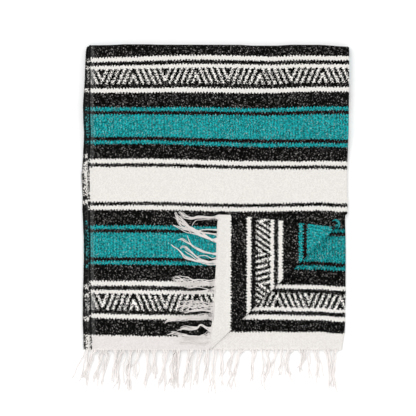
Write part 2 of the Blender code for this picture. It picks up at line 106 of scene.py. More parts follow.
# Soft creases pressed in by folding, each from one place to another, as a share of the height.
CREASES = rows_of(
    "x y to_x to_y rise reach",
    (-0.07, 0.045, -0.055, 0.115, -0.07, 0.009), (0.012, 0.02, 0.004, 0.105, 0.06, 0.011),
    (-0.255, 0.055, -0.215, 0.11, -0.05, 0.01), (0.125, 0.035, 0.15, 0.12, -0.05, 0.012),
    (0.235, 0.015, 0.285, 0.06, 0.07, 0.01), (-0.13, -0.365, -0.095, -0.325, 0.09, 0.008),
    (-0.045, -0.368, -0.075, -0.335, -0.09, 0.007), (0.222, -0.142, 0.268, -0.072, -0.08, 0.01),
    (0.085, -0.365, 0.105, -0.318, 0.08, 0.009), (0.215, -0.368, 0.19, -0.325, -0.08, 0.009),
    (-0.3, 0.205, -0.235, 0.19, 0.06, 0.01), (0.06, 0.33, 0.17, 0.315, 0.05, 0.012),
    (-0.12, 0.305, -0.02, 0.33, -0.05, 0.012),
)
CREASE_HEART = 0.25
CREASE_FADE = 0.3

# How far the top fold is drawn out, at places across the stack, and how far down that reaches.
TOP_FOLD_DRAW = (
    (-0.31, -0.0012), (-0.265, -0.0008), (-0.245, 0.0), (-0.225, 0.0012), (-0.165, 0.0011), (-0.14, 0.0002),
    (0.055, 0.0), (0.085, -0.0021), (0.145, -0.0021), (0.18, 0.0), (0.25, -0.0002), (0.272, -0.0016),
    (0.298, -0.0037), (0.32, -0.0048),
)
TOP_DRAW_REACH = 0.030
TOP_DRAW_RUN = 0.028


def smooth(share):
    """Ease a share from 0 to 1 in and out."""
    share = min(1.0, max(0.0, share))
    return share * share * (3 - 2 * share)


def between(places, at):
    """The first of the two places that a value lies between, and its share of the way to the second."""
    low = next((i for i in range(len(places) - 2) if at <= places[i + 1]), len(places) - 2)
    return low, (at - places[low]) / (places[low + 1] - places[low])


def read(table, at):
    """Read a two-column table at a value, straight between its rows and past its last one."""
    low, share = between([row[0] for row in table], at)
    step = table[low + 1][1] - table[low][1]
    return table[low][1] + min(1.0, share) * step + max(0.0, at - table[-1][0])


def read_within(table, at):
    """Read a two-column table at a value, which stays as it is past the table's two ends."""
    return read(table, min(max(at, table[0][0]), table[-1][0]))


def edge_at(name, y):
    """Where one side edge lies at y, with the small waver of a woven edge."""
    y = min(max(y, BOTTOM), TOP)
    low, share = between(EDGE_ROWS, y)
    start, end = EDGES[low][name], EDGES[low + 1][name]
    waver = EDGE_WAVER * noise.noise(Vector((y * EDGE_WAVERS, len(name) * 3.7, 0.5)))
    return start + share * (end - start) + waver


def stack_base(y):
    """Height of the upper four layers' underside: they climb onto the tucked layers."""
    return 4 * PLY * smooth((y - RAMP_FOOT) / (RAMP_TOP - RAMP_FOOT))


def crease_share(crease, x, y):
    """How much one crease raises the stack at a place."""
    start, end = Vector((crease["x"], crease["y"])), Vector((crease["to_x"], crease["to_y"]))
    line, place = end - start, Vector((x, y)) - start
    along = place.dot(line) / line.length_squared
    across = (place - line * along).length / crease["reach"]
    past = max(0.0, abs(along - 0.5) - CREASE_HEART) / CREASE_FADE
    return crease["rise"] * math.exp(-across * across - past * past)


def settle(point):
    """Let the stack swell, crease and puff up along its folds; the floor plane stays flat."""
    x, y = point.x, point.y
    rise = sum(
        row["rise"] * math.exp(-((x - row["x"]) / row["reach_x"]) ** 2 - ((y - row["y"]) / row["reach_y"]) ** 2)
        for row in SWELLS)
    rise += sum(crease_share(crease, x, y) for crease in CREASES)
    rise += sum(
        share * noise.noise(Vector((x * across, y * along, at))) for share, across, along, at in UNEVENNESS)
    from_fold = max(0.0, edge_at("lower_fold", y) - x) / FOLD_PUFF_REACH
    from_nose = max(0.0, TOP - y) / FOLD_PUFF_REACH
    rise += FOLD_PUFF * (math.exp(-from_fold * from_fold) + math.exp(-from_nose * from_nose)) / 2
    y += read_within(TOP_FOLD_DRAW, x) * smooth((y - TOP + TOP_DRAW_REACH) / TOP_DRAW_RUN)
    if x < CORNER_LINE:
        x += (CORNER_LINE - x) * min(1.0, max(0.0, (y - TOP + CORNER_REACH) / CORNER_REACH)) ** 4
    return Vector((x, y, point.z * (1 + rise)))


def run_y(run):
    """The y that cloth lies at, a distance `run` from its cut end along the top, the nose and the tuck."""
    if run <= FLAT_RUN:
        return BOTTOM + run
    return NOSE_AXIS - max(0.0, run - FLAT_RUN - NOSE_RUN)


def lie(x, n, run):
    """Where cloth lies that is `run` from its cut end and n above the underside of its own stack."""
    y = run_y(run)
    if run <= FLAT_RUN:
        return settle(Vector((x, y, stack_base(y) + n)))
    turn = math.pi * min(1.0, (run - FLAT_RUN) / NOSE_RUN)
    return settle(Vector((x, y + n * math.sin(turn), 4 * PLY + n * math.cos(turn))))


# How the stripes lie: distance laid from the cut end, and distance along the cloth as woven, at each
# end of the cloth. The cloth is a little stretched in places and drawn in in others.
NEAR_END = (
    (0, 0.008), (0.0332, 0.042), (0.0733, 0.0773), (0.0841, 0.0879), (0.0952, 0.0995), (0.1368, 0.1374),
    (0.1446, 0.1463), (0.1674, 0.1677), (0.2238, 0.2244), (0.2825, 0.2827), (0.6222, 0.6228), (0.6448, 0.645),
    (0.6815, 0.6829), (0.699, 0.7016),
)
FAR_END = (
    (0, 0), (0.041, 0.037), (0.0699, 0.0758), (0.0822, 0.0874), (0.0914, 0.0972), (0.0991, 0.1061),
    (0.1356, 0.144), (0.1454, 0.1546), (0.1553, 0.1662), (0.1938, 0.2016), (0.2135, 0.2198), (0.2788, 0.2732),
    (0.2958, 0.2903),
)

# How the stripes sag: at each y, how far they lie below their straight line, in millimetres, at nine
# places across the stack, on the near end's layers and on the far end's.
SAG_PLACES = (-0.291, -0.162, -0.090, -0.017, 0.056, 0.128, 0.201, 0.250, 0.291)
NEAR_SAG = (
    (-0.34, (-3.0, 0, -0.5, 0, 0, 0, 0, 0, 0)), (-0.303, (-4.0, 0, -0.5, 0, 0, 0, 0, 0, 0)),
    (-0.25, (-2.0, 0, 1.2, 1.5, 1.5, 1.5, 1.5, 1.5, 1.5)),
    (-0.216, (-0.4, 0, 1.5, 2.0, 2.5, 2.5, 2.5, 2.5, 2.5)),
    (-0.104, (0.3, 0, 1.5, 3.0, 4.0, 4.0, 3.0, 2.5, 4.0)),
    (-0.007, (0.3, 0, 1.3, 3.7, 5.0, 4.2, 2.6, 1.2, 4.1)),
    (0.09, (0.6, 0, 1.5, 3.7, 6.1, 6.3, 6.9, 6.0, 6.6)), (0.124, (1.1, 0, 1.9, 4.6, 6.9, 7.8, 7.7, 6.8, 8.2)),
    (0.153, (1.0, 0, 1.6, 3.6, 5.0, 5.5, 5.2, 4.7, 6.1)),
    (0.206, (-0.5, 0, 0, 0.1, 1.6, 2.1, -0.4, -1.6, -1.6)),
    (0.235, (0.3, 0, -1.2, -0.2, 1.0, 0.9, -1.6, -2.8, -2.5)),
    (0.274, (1.2, 0, -1.6, -1.1, 0.7, 1.2, -2.1, -3.0, -2.3)),
    (0.313, (2.8, 0, -1.8, -2.3, -2.0, 0.3, -2.6, -2.0, -1.8)),
    (0.337, (3.8, 0, -2.6, -2.8, -1.5, 0.5, -2.2, -1.0, -0.8)),
)
FAR_SAG = (
    (-0.33, (-4.0, -5.0, -5.0, -2.6, -2.6, -3.3, -2.3, -3.0, 0.8)),
    (-0.29, (-4.0, -5.0, -5.0, -5.0, -5.0, -5.3, -3.3, -3.0, 0.5)),
    (0.0, (-4.0, -5.0, -5.0, -5.0, -5.0, -5.3, -3.3, -3.0, 0.5)),
)

# How far up the second layer's stripes lie past the top layer's, by y: the folded cloth crept a little.
SECOND_LAYER_CREEP = (
    (-0.333, 0), (-0.299, -0.008), (-0.166, -0.01), (-0.13, 0), (-0.069, 0.008), (-0.045, 0.013),
    (0.088, 0.013), (0.113, 0.01), (0.137, -0.003), (0.209, 0),
)


def sag(table, x, y):
    """The sag of the stripe at one place, in metres, straight between the table's rows and columns."""
    row, up = between([row[0] for row in table], min(max(y, table[0][0]), table[-1][0]))
    column, over = between(SAG_PLACES, min(max(x, SAG_PLACES[0]), SAG_PLACES[-1]))
    low, high = table[row][1], table[row + 1][1]
    near = low[column] + up * (high[column] - low[column])
    far = low[column + 1] + up * (high[column + 1] - low[column + 1])
    return (near + over * (far - near)) / 1000


def cloth_at(layer, x, run):
    """The place on the flat cloth, across and along it, of a point of the stack; layer 1 is the top one."""
    y = run_y(run)
    across = x - edge_at("top_selvage" if layer == 1 else "low_selvage", y)
    if layer in (2, 3):
        across = CUT_WIDTH - across
    if layer <= 2:
        creep = read_within(SECOND_LAYER_CREEP, y) if layer == 2 else 0.0
        return across, read(NEAR_END, max(0.0, run + sag(NEAR_SAG, x, y) - creep))
    return across, CUT_LENGTH - read(FAR_END, max(0.0, run + sag(FAR_SAG, x, y)))


class Field:
    """A number that varies over a piece: plain arithmetic on it adds Math nodes to its tree."""

    def __init__(self, socket):
        self.socket = socket

    def __add__(self, other):
        return reckon("ADD", self, other)

    def __sub__(self, other):
        return reckon("SUBTRACT", self, other)

    def __rsub__(self, other):
        return reckon("SUBTRACT", other, self)

    def __mul__(self, other):
        return reckon("MULTIPLY", self, other)

    def __truediv__(self, other):
        return reckon("DIVIDE", self, other)

    def line(self, slope, start):
        return reckon("MULTIPLY_ADD", self, slope, start)


def put(value, socket):
    """Set a socket, or link a field, an output or a node's first output to it."""
    if isinstance(value, bpy.types.Node):
        value = value.outputs[0]
    value = getattr(value, "socket", value)
    if isinstance(value, bpy.types.NodeSocket):
        socket.id_data.links.new(value, socket)
    else:
        socket.default_value = value


def add_node(tree, kind, **values):
    """Add a node: names in small letters are its settings, and the others are its inputs."""
    node = tree.nodes.new(kind)
    for name, value in values.items():
        if name.islower():
            setattr(node, name, value)
        else:
            label = name.replace("_", " ")
            put(value, next(s for s in node.inputs if s.identifier == name or s.enabled and s.name == label))
    return node


def reckon(operation, *values):
    """Add a Math node to the tree that its values are in, and give its result."""
    tree = next(value.socket.id_data for value in values if isinstance(value, Field))
    node = add_node(tree, "ShaderNodeMath", operation=operation)
    for value, socket in zip(values, node.inputs):
        put(value, socket)
    return Field(node.outputs[0])


def tint(share, first, second, blend="MIX"):
    """Add a colour Mix node to the tree that its values are in, and give its result."""
    tree = next(value.socket.id_data for value in (share, first, second) if isinstance(value, Field))
    node = add_node(
        tree, "ShaderNodeMix", data_type="RGBA", blend_type=blend, Factor_Float=share, A_Color=first,
        B_Color=second)
    return Field(next(s for s in node.outputs if s.identifier == "Result_Color"))


def shaded(colour, shade):
    """Multiply a colour by a shade."""
    return tint(1.0, colour, shade, "MULTIPLY")


def mottle(tree, place, scale, detail):
    """Soft noise over a piece, from 0 to 1."""
    return Field(add_node(tree, "ShaderNodeTexNoise", Vector=place, Scale=scale, Detail=detail).outputs["Fac"])


def start_tree(name, kind, inputs, outputs):
    """A new node tree with named sockets, each with its kind and, if it has one, its usual value."""
    tree = bpy.data.node_groups.new(name, kind)
    for in_out, sockets in (("INPUT", inputs), ("OUTPUT", outputs)):
        for label, sort, *usual in sockets:
            socket = tree.interface.new_socket(label, in_out=in_out, socket_type="NodeSocket" + sort)
            if usual:
                socket.default_value = usual[0]
    return tree, tree.nodes.new("NodeGroupInput").outputs, tree.nodes.new("NodeGroupOutput").inputs


def start_finish(name, roughness, specular, sheen=0.0):
    """A new material, its tree and its shader's inputs, set for a rough and softly sheened surface."""
    material = bpy.data.materials.new(name)
    material.use_nodes = True
    shader = material.node_tree.nodes["Principled BSDF"].inputs
    shader["Roughness"].default_value = roughness
    shader["Specular IOR Level"].default_value = specular
    shader["Sheen Weight"].default_value = sheen
    shader["Sheen Roughness"].default_value = 0.5
    return material, material.node_tree, shader


def add_relief(tree, shader, height, strength, distance):
    put(add_node(tree, "ShaderNodeBump", Height=height, Strength=strength, Distance=distance), shader["Normal"])


FULL_LIGHT = 0.88


def linear(red, green, blue):
    """The linear albedo of yarn that a screen shows, from 0 to 255, as this colour in full light."""
    return tuple(
        FULL_LIGHT * (c / 255 / 12.92 if c <= 10 else ((c / 255 + 0.055) / 1.055) ** 2.4)
        for c in (red, green, blue)) + (1.0,)


# The stripes from one zigzag band to the next, with each one's width in millimetres.
STRIPES = (
    ("zigzag", 37.9), ("white", 8.9), ("line", 9.8), ("white", 11.6), ("black", 38.5), ("teal", 9.1),
    ("thin line", 9.2), ("teal", 58.4), ("thin line", 8.7), ("teal", 9.3), ("black", 38.3), ("white", 11.7),
    ("line", 8.4), ("white", 83.6), ("line", 8.9), ("white", 11.0), ("black", 36.1), ("teal", 9.2),
    ("thin line", 7.9), ("teal", 53.4), ("thin line", 9.1), ("teal", 9.2), ("black", 35.4), ("white", 10.6),
    ("line", 11.6),
)
NO_MASK = (0, 0, 0, 1)
STRIPE_MASKS = {"teal": (1, 0, 0, 1), "white": (0, 1, 0, 1), "zigzag": (0, 0, 1, 1)}
THIN_LINE_MASK = {"thin line": (1, 1, 1, 1)}
REPEAT = sum(width for kind, width in STRIPES) / 1000
FIRST_ZIGZAG = 0.0995
END_BAND = 0.042
FAR_END_BAND = CUT_LENGTH - 0.037
ZIGZAG_FOOT = 0.037
BUMP_WIDTH = 0.0072
BUMP_RISE = 0.0034
TOOTH = 0.0030
RAGGED = 0.0032
SPECK_WIDTH = 0.0024
SPECK_RISE = 0.0024
STEP_RISE = 0.0073
POINT_AT = 0.110
POINT_SPACING = 0.0763
STROKE_SPACING = 0.0140
STROKE_LEAN = 0.431
STROKE_SHARE = 0.345
STROKE_BEAT = 0.075
STROKE_RAGGED = 0.24
GROOVE_AT = 0.0046
GROOVE_HALF = 0.0018
WASH_REACH = 0.0125
SELVAGE_WIDTH = 0.006
FIBRE_SCALE = (260, 900, 1)
DYE_SCALE = 26.0
FIBRE_RELIEF = 0.25
GROOVE_DEPTH = 0.6

# How much each of these changes a shade or the share of a tint, and where it starts.
YARN_SHADE = (1.30, 0.36)
# The rib shade is painted shade, darker in the grooves between the warp columns.
RIB_PAINTED_SHADE = (0.18, 1.0)
SOFT_SHADE = (0.16, 0.92)
# The hump shades are painted shade: darker in the grooves between weft bumps, much less so on pale yarn.
HUMP_PAINTED_SHADE = (0.35, 0.76)
PALE_HUMP_PAINTED_SHADE = (0.07, 0.94)
FLECK_BY_RIB = (3.0, 9.0)
FLECK_BY_TEAL = (-0.14, 0.52)
FLECK_BY_LINE = (-0.5, 1.0)
FLECK_BY_ZIGZAG = (-0.7, 1.0)
WARP_BY_WHITE = (0.30, 0.35)
WASH_BY_TURN = (0.5, 0.5)
WASH_BY_ZIGZAG = (0.60, 0.24)
WASH_BY_WHITE = (-0.8, 1.0)
WASH_RAGGED = 0.005
GROOVE_HIDDEN = 0.35
WARP_SHOW = 0.95

# The yarns' colours, and the tints of the zigzag's white and of the two end bands; the near end band's tint is
# a slightly pink painted shade on the top layer beside its fringe.
BLACK_YARN = linear(6, 6, 5)
LINE_YARN = linear(20, 8, 8)
TEAL_YARN = linear(24, 149, 152)
FLECK_YARN = linear(176, 172, 170)
WHITE_YARNS = (linear(250, 247, 242), linear(236, 232, 227))
WASHED_YARN = linear(140, 140, 139)
WARP_YARN = linear(14, 14, 14)
ZIGZAG_TINT = (1.12, 1.12, 1.12, 1.0)
NEAR_BAND_PAINTED_SHADE = (0.963, 0.944, 0.966, 1.0)
FAR_BAND_TINT = (0.980, 0.971, 0.975, 1.0)


def build_stripes():
    """A group that tells which stripe a place along the cloth is in."""
    tree, given, result = start_tree(
        "serape stripes", "ShaderNodeTree", [("Along", "Float")],
        [(name, "Float") for name in ("Teal", "White", "Zigzag", "Thin Line", "Past Zigzag")])
    along = Field(given["Along"])
    place = reckon("FRACT", (along - FIRST_ZIGZAG) / REPEAT)
    ramps = []
    for masks in (STRIPE_MASKS, THIN_LINE_MASK):
        ramp = add_node(tree, "ShaderNodeValToRGB", Fac=place)
        ramp.color_ramp.interpolation = "CONSTANT"
        points = ramp.color_ramp.elements
        points.remove(points[1])
        at = 0.0
        for number, (kind, width) in enumerate(STRIPES):
            point = points.new(at) if number else points[0]
            point.color = masks.get(kind, NO_MASK)
            at += width / 1000 / REPEAT
        ramps.append(ramp)
    kinds = add_node(tree, "ShaderNodeSeparateColor", Color=ramps[0])
    teal, white, zigzag = (Field(socket) for socket in kinds.outputs)
    end = reckon("MAXIMUM", reckon("LESS_THAN", along, END_BAND), reckon("GREATER_THAN", along, FAR_END_BAND))
    body = 1.0 - end
    put(teal * body, result["Teal"])
    put(reckon("MAXIMUM", white, end), result["White"])
    put(zigzag * body, result["Zigzag"])
    put(ramps[1], result["Thin Line"])
    put(place * REPEAT, result["Past Zigzag"])
    return tree


def bump_round(place, cell, fullness):
    """How high a place is on the round of its weft bump."""
    return reckon("POWER", reckon("COSINE", (place - cell) * math.pi), fullness)


def build_weave(stripes):
    """A group that draws the woven cloth from its place across and along the cut."""
    tree, given, result = start_tree(
        "woven serape", "ShaderNodeTree",
        [("Cloth", "Vector"), ("Depth", "Float", 1.0), ("Selvage", "Float", SELVAGE_WIDTH)],
        [("Color", "Color"), ("Height", "Float")])
    cloth = add_node(tree, "ShaderNodeSeparateXYZ", Vector=given["Cloth"]).outputs
    across, along = Field(cloth["X"]), Field(cloth["Y"])

    # Each weft bump is one cell of a slanting lattice.
    column, row = across / BUMP_WIDTH, along / BUMP_RISE
    first, second = column + row, column - row
    first_cell, second_cell = reckon("ROUND", first), reckon("ROUND", second)
    cell_across = (first_cell + second_cell) * (BUMP_WIDTH / 2)
    hump = bump_round(first, first_cell, 0.6) * bump_round(second, second_cell, 1.2)

    # Three random draws for each turn of the weft.
    turn_across = reckon("FLOOR", across / SPECK_WIDTH)
    turn_along = reckon("FLOOR", along / SPECK_RISE + reckon("PINGPONG", turn_across, 1.0) * 0.5)
    turn = add_node(tree, "ShaderNodeCombineXYZ", X=turn_across, Y=turn_along)
    draw = add_node(tree, "ShaderNodeTexWhiteNoise", Vector=turn)
    draws = add_node(tree, "ShaderNodeSeparateColor", Color=draw.outputs["Color"])
    red, green, blue = (Field(socket) for socket in draws.outputs)

    # The wefts of two stripes interlock, so the border between them is a row of ragged teeth.
    tooth = reckon("PINGPONG", column, 0.5).line(2 * TOOTH, -TOOTH / 2)
    stripe = add_node(
        tree, "ShaderNodeGroup", node_tree=stripes, Along=along + tooth + blue.line(RAGGED, -RAGGED / 2))
    teal, white, zigzag, thin_line, past_zigzag = (Field(socket) for socket in stripe.outputs)

    # The zigzag: steep ragged strokes, in steps, that lean the other way past each point.
    past_point = reckon("PINGPONG", cell_across - POINT_AT, POINT_SPACING)
    steps = (past_zigzag - ZIGZAG_FOOT) / STEP_RISE
    climbed = reckon("FLOOR", steps) + reckon("POWER", reckon("FRACT", steps), 2.0)
    climbed = climbed * (STROKE_LEAN * STEP_RISE)
    stroke = reckon("PINGPONG", (past_point + climbed) / STROKE_SPACING, 0.5)
    beat = reckon("COSINE", steps * (2 * math.pi))
    edge = beat.line(-STROKE_BEAT, STROKE_SHARE) + blue.line(STROKE_RAGGED, -STROKE_RAGGED / 2)
    dark_stroke = reckon("LESS_THAN", stroke, edge)
    light = reckon("MAXIMUM", white, zigzag * (1.0 - dark_stroke))

    # Yarn colours, with the heathered flecks of spun yarn, and painted shade between the warp columns and in
    # the grooves between weft bumps.
    stretched = add_node(tree, "ShaderNodeMapping", Vector=given["Cloth"], Scale=FIBRE_SCALE)
    fibre = mottle(tree, stretched, 1.0, 3.0)
    dye = mottle(tree, given["Cloth"], DYE_SCALE, 2.0)
    rib = reckon("COSINE", column * (2 * math.pi))
    colour = tint(teal, tint(thin_line, BLACK_YARN, LINE_YARN), TEAL_YARN)
    fleck = reckon("POWER", red, rib.line(*FLECK_BY_RIB)) * teal.line(*FLECK_BY_TEAL)
    fleck = fleck * thin_line.line(*FLECK_BY_LINE) * zigzag.line(*FLECK_BY_ZIGZAG)
    colour = tint(fleck, colour, FLECK_YARN)
    shade = green.line(*YARN_SHADE) * rib.line(*RIB_PAINTED_SHADE) * dye.line(*SOFT_SHADE) * hump.line(*HUMP_PAINTED_SHADE)
    # The Depth input darkens the dark and teal stripes of a whole layer: painted shade, set for the lower
    # layer.
    colour = shaded(colour, shade * Field(given["Depth"]))
    pale = tint(blue, *WHITE_YARNS)
    # The top layer's near end band gets a slightly pink painted shade, beside its fringe.
    near_band = reckon("LESS_THAN", along, END_BAND) * reckon("LESS_THAN", across, CUT_WIDTH / 2)
    far_band = reckon("GREATER_THAN", along, FAR_END_BAND)
    for place, touch in ((zigzag, ZIGZAG_TINT), (near_band, NEAR_BAND_PAINTED_SHADE), (far_band, FAR_BAND_TINT)):
        pale = tint(place, pale, touch, "MULTIPLY")
    # Pale yarn gets a light painted shade in the grooves between weft bumps.
    colour = tint(light, colour, shaded(pale, hump.line(*PALE_HUMP_PAINTED_SHADE)))
    colour = shaded(colour, fibre.line(*SOFT_SHADE))

    # The selvage: dark warp shows between the cord and a groove, then mottles the first few wefts.
    margin = reckon("MINIMUM", across, CUT_WIDTH - across)
    groove = reckon("LESS_THAN", reckon("ABSOLUTE", margin - GROOVE_AT), GROOVE_HALF)
    groove = groove * (1.0 - reckon("LESS_THAN", green, GROOVE_HIDDEN) * white)
    mottled = reckon("LESS_THAN", margin, Field(given["Selvage"]))
    mottled = mottled * reckon("GREATER_THAN", blue, white.line(*WARP_BY_WHITE))
    wash = reckon("LESS_THAN", green.line(-WASH_RAGGED, margin), WASH_REACH) * red.line(*WASH_BY_TURN)
    wash = wash * zigzag.line(*WASH_BY_ZIGZAG) * white.line(*WASH_BY_WHITE)
    colour = tint(wash, colour, WASHED_YARN)
    colour = tint(reckon("MAXIMUM", groove, mottled) * WARP_SHOW, colour, WARP_YARN)
    put(colour, result["Color"])
    put(fibre.line(FIBRE_RELIEF, hump) - groove * GROOVE_DEPTH, result["Height"])
    return tree


def finish_cloth(name, weave, layer_shade=1.0, selvage=SELVAGE_WIDTH):
    """Matt woven cloth: the weave's colour and relief on a rough, softly sheened surface, with its dark and
    teal stripes darkened by a painted shade where one is given.
    """
    material, tree, shader = start_finish(name, roughness=0.93, specular=0.03, sheen=0.008)
    place = add_node(tree, "ShaderNodeUVMap", uv_map="cloth")
    woven = add_node(tree, "ShaderNodeGroup", node_tree=weave, Cloth=place, Depth=layer_shade, Selvage=selvage)
    put(woven.outputs["Color"], shader["Base Color"])
    add_relief(tree, shader, woven.outputs["Height"], strength=0.8, distance=0.0009)
    return material


def add_object(name, data):
    """Put a mesh, a light or a camera into the scene."""
    added = bpy.data.objects.new(name, data)
    bpy.context.scene.collection.objects.link(added)
    return added


def add_piece(name, bm, material):
    """Turn a built mesh into a smooth piece, with hard edges only where faces meet at a sharp angle."""
    for face in bm.faces:
        face.smooth = True
    harden(bm)
    mesh = bpy.data.meshes.new(name)
    bm.to_mesh(mesh)
    bm.free()
    mesh.materials.append(material)
    return add_object(name, mesh)


def harden(bm):
    for edge in bm.edges:
        edge.smooth = edge.calc_face_angle(0.0) < 1.0


def bake(piece, modifier):
    """Keep what a modifier makes of a piece as its plain mesh, and remove the modifier."""
    mesh = bpy.data.meshes.new_from_object(piece.evaluated_get(bpy.context.evaluated_depsgraph_get()))
    piece.modifiers.remove(modifier)
    piece.data = mesh
    return mesh


def add_face(bm, uv, corners):
    """Add a face whose corners each have a vertex and a place on the cloth."""
    face = bm.faces.new([vert for vert, place in corners])
    for loop, (vert, place) in zip(face.loops, corners):
        loop[uv].uv = place


def arc(degrees):
    """Each angle in degrees, with its cosine and sine."""
    return [(angle, math.cos(math.radians(angle)), math.sin(math.radians(angle))) for angle in degrees]


SELVAGE_INSET = 0.0016
SELVAGE_ROUND = 0.0010
SELVAGE_HALF = 0.49
FLAT_INSET = 0.0034
UPPER_FOLD_INSET = 0.018
DIAGONAL_INSET = 0.0012
COVERED_INSET = 0.0008
COVERED_END = 0.002
COVERED_FADE = 0.006
FOLD_INSET = 0.003
FRONT_INSET = 0.004
LIP_REACH = 0.0012
LIP_DEPTH = 0.012
LIP_WAVER = 0.0007
LIP_WAVERS = 60
LIP_STEP = 0.007
LIP_ENDS = {2: -0.028, 3: -0.034}


def diagonal_x(y, q):
    """Where a line q off the turned corner's diagonal fold lies at y."""
    return DIAGONAL_START.x + ((y - DIAGONAL_START.y) * INWARD.y - q) / -INWARD.x


def hidden_chain(y):
    """Half of a ring, up the selvages, across and down the lower fold: (x, n, layer of the next face)."""
    selvage = edge_at("low_selvage", y)
    chain = []
    for number, drawn_in in enumerate(SELVAGE_STAGGER):
        for _, cosine, sine in arc((-80, -45, -15, 15, 45, 80)):
            x = selvage + drawn_in + SELVAGE_INSET + SELVAGE_ROUND * (1 - cosine)
            chain.append((x, PLY * (number + 0.5 + SELVAGE_HALF * sine), 4 - number))
    inner = min(edge_at("upper_fold", y) - UPPER_FOLD_INSET, diagonal_x(y, CREASE_Q + DIAGONAL_INSET))
    start = selvage + FLAT_INSET
    for share in (0, 0.006, 0.012, 0.02, 0.03, 0.06, 0.2, 0.4, 0.6, 0.8, 1.0):
        chain.append((start + share * (inner - start), 3 * PLY - 2 * SLACK, 2))
    fold = edge_at("lower_fold", y) - PLY
    inset = COVERED_INSET * (1 - smooth((y - COVERED_END) / COVERED_FADE))
    chain.append((inner + 4 * SLACK, 2 * PLY - inset - SLACK, 3))
    for share in (0.25, 0.5, 0.75, 1.0):
        chain.append((inner + share * (fold - FOLD_INSET - inner), 2 * PLY - inset - SLACK, 3))
    for degrees, cosine, sine in arc(range(90, -91, -15)):
        radius = PLY - (inset if degrees > -60 else 0.0)
        chain.append((fold + radius * cosine, PLY + radius * sine, 3 if degrees > 0 else 4))
    return chain


def build_hidden_layers(material):
    bm = bmesh.new()
    uv = bm.loops.layers.uv.new("cloth")

    def add_faces(rings, layers, runs, closed):
        """Join rings of (vertex, x), with each face placed on its own layer of the cloth."""
        for (near, near_run), (far, far_run) in zip(zip(rings, runs), zip(rings[1:], runs[1:])):
            count = len(near)
            for i in range(count if closed else count - 1):
                j = (i + 1) % count
                if (near[i][0].co - near[j][0].co).length + (far[i][0].co - far[j][0].co).length < 1e-6:
                    continue
                below = i >= len(layers) // 2
                corners = ((near[i], near_run), (far[i], far_run), (far[j], far_run), (near[j], near_run))
                add_face(bm, uv, [(vert, cloth_at(layers[i], x, run[below])) for (vert, x), run in corners])

    # The flat part: the upper half of each ring is the stack, the lower half the tucked layers.
    rings, runs = [], []
    steps = 110
    for step in range(steps + 1):
        run = FRONT_INSET + (FLAT_RUN - FRONT_INSET) * step / steps
        y = run_y(run)
        base = stack_base(y)
        floor = PLY if y > TUCK_END else 0.0
        shrink = (base - floor) / (3 * PLY)
        spread = min(1.0, max(0.0, shrink))
        chain = hidden_chain(y)
        left, right = chain[0][0], chain[-1][0]
        ring = [(bm.verts.new(settle(Vector((x, y, base + n)))), x) for x, n, layer in chain]
        for x, n, layer in reversed(chain):
            on_floor = left if n < 3 * PLY - 0.001 and x < 0 else x
            on_floor = min(max(on_floor, left), right)
            place = Vector((on_floor + (x - on_floor) * spread, y, base - n * shrink - 0.00001 * spread))
            ring.append((bm.verts.new(settle(place)), x))
        rings.append(ring)
        runs.append((run, FLAT_RUN + NOSE_RUN + NOSE_AXIS - y))
    layers = [layer for x, n, layer in hidden_chain(BOTTOM)]
    lower_layers = layers[::-1]
    add_faces(rings, layers + lower_layers[1:] + lower_layers[:1], runs, closed=True)
    add_face(bm, uv, [(vert, (0.1, 0.01)) for vert, x in reversed(rings[0])])

    # The turn round the tucked edge.
    nose, nose_runs = [], []
    for step in range(15):
        run = FLAT_RUN + NOSE_RUN * step / 14
        nose.append([(bm.verts.new(lie(x, n, run + 1e-9)), x) for x, n, layer in hidden_chain(NOSE_AXIS)])
        nose_runs.append((run, run))
    add_faces(nose, layers, nose_runs, closed=False)
    bmesh.ops.remove_doubles(bm, verts=bm.verts[:], dist=0.00002)
    bmesh.ops.recalc_face_normals(bm, faces=bm.faces[:])

    # The cut ends of the three layers under the top one, each a rounded lip.
    for layer in (2, 3, 4):
        right = LIP_ENDS.get(layer, edge_at("lower_fold", BOTTOM) - PLY)
        left = edge_at("low_selvage", BOTTOM) + SELVAGE_STAGGER[4 - layer] + SELVAGE_INSET
        middle, half = (4 - layer + 0.5) * PLY, 0.5 * PLY - SLACK
        lips = []
        steps = max(8, round((right - left) / LIP_STEP))
        for step in range(steps + 1):
            x = left + (right - left) * step / steps
            out = LIP_WAVER * noise.noise(Vector((x * LIP_WAVERS, layer * 5.3, 1.7)))
            lip = [(LIP_DEPTH, middle + half)]
            for _, cosine, sine in arc(range(90, -91, -30)):
                lip.append((LIP_REACH - LIP_REACH * cosine + out + 4 * SLACK, middle + half * sine))
            lip.append((LIP_DEPTH, middle - half))
            lips.append([
                (bm.verts.new(lie(x, n, max(0.0, run))), cloth_at(layer, x, max(0.0, run))) for run, n in lip])
        for near, far in zip(lips, lips[1:]):
            for i in range(len(near) - 1):
                add_face(bm, uv, (near[i], near[i + 1], far[i + 1], far[i]))
    return add_piece("hidden_layers_cloth", bm, material)


stripes = build_stripes()
weave = build_weave(stripes)
hidden_layers = build_hidden_layers(finish_cloth("hidden layers cloth", weave, selvage=0.012))
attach(hidden_layers, "root")
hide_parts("hidden_layers")

# The lower layer, where the turned corner uncovers it.
# The same cloth, third down in the stack, from the diagonal to its own side fold and the far cut end.
# It is part of the one weave, held only by lying in the stack.
CLOTH_STEP = 0.0062
LOWER_LAYER_END = 0.010
LOWER_LAYER_LEFT = -0.06
LOWER_LAYER_TUCK = 0.0115


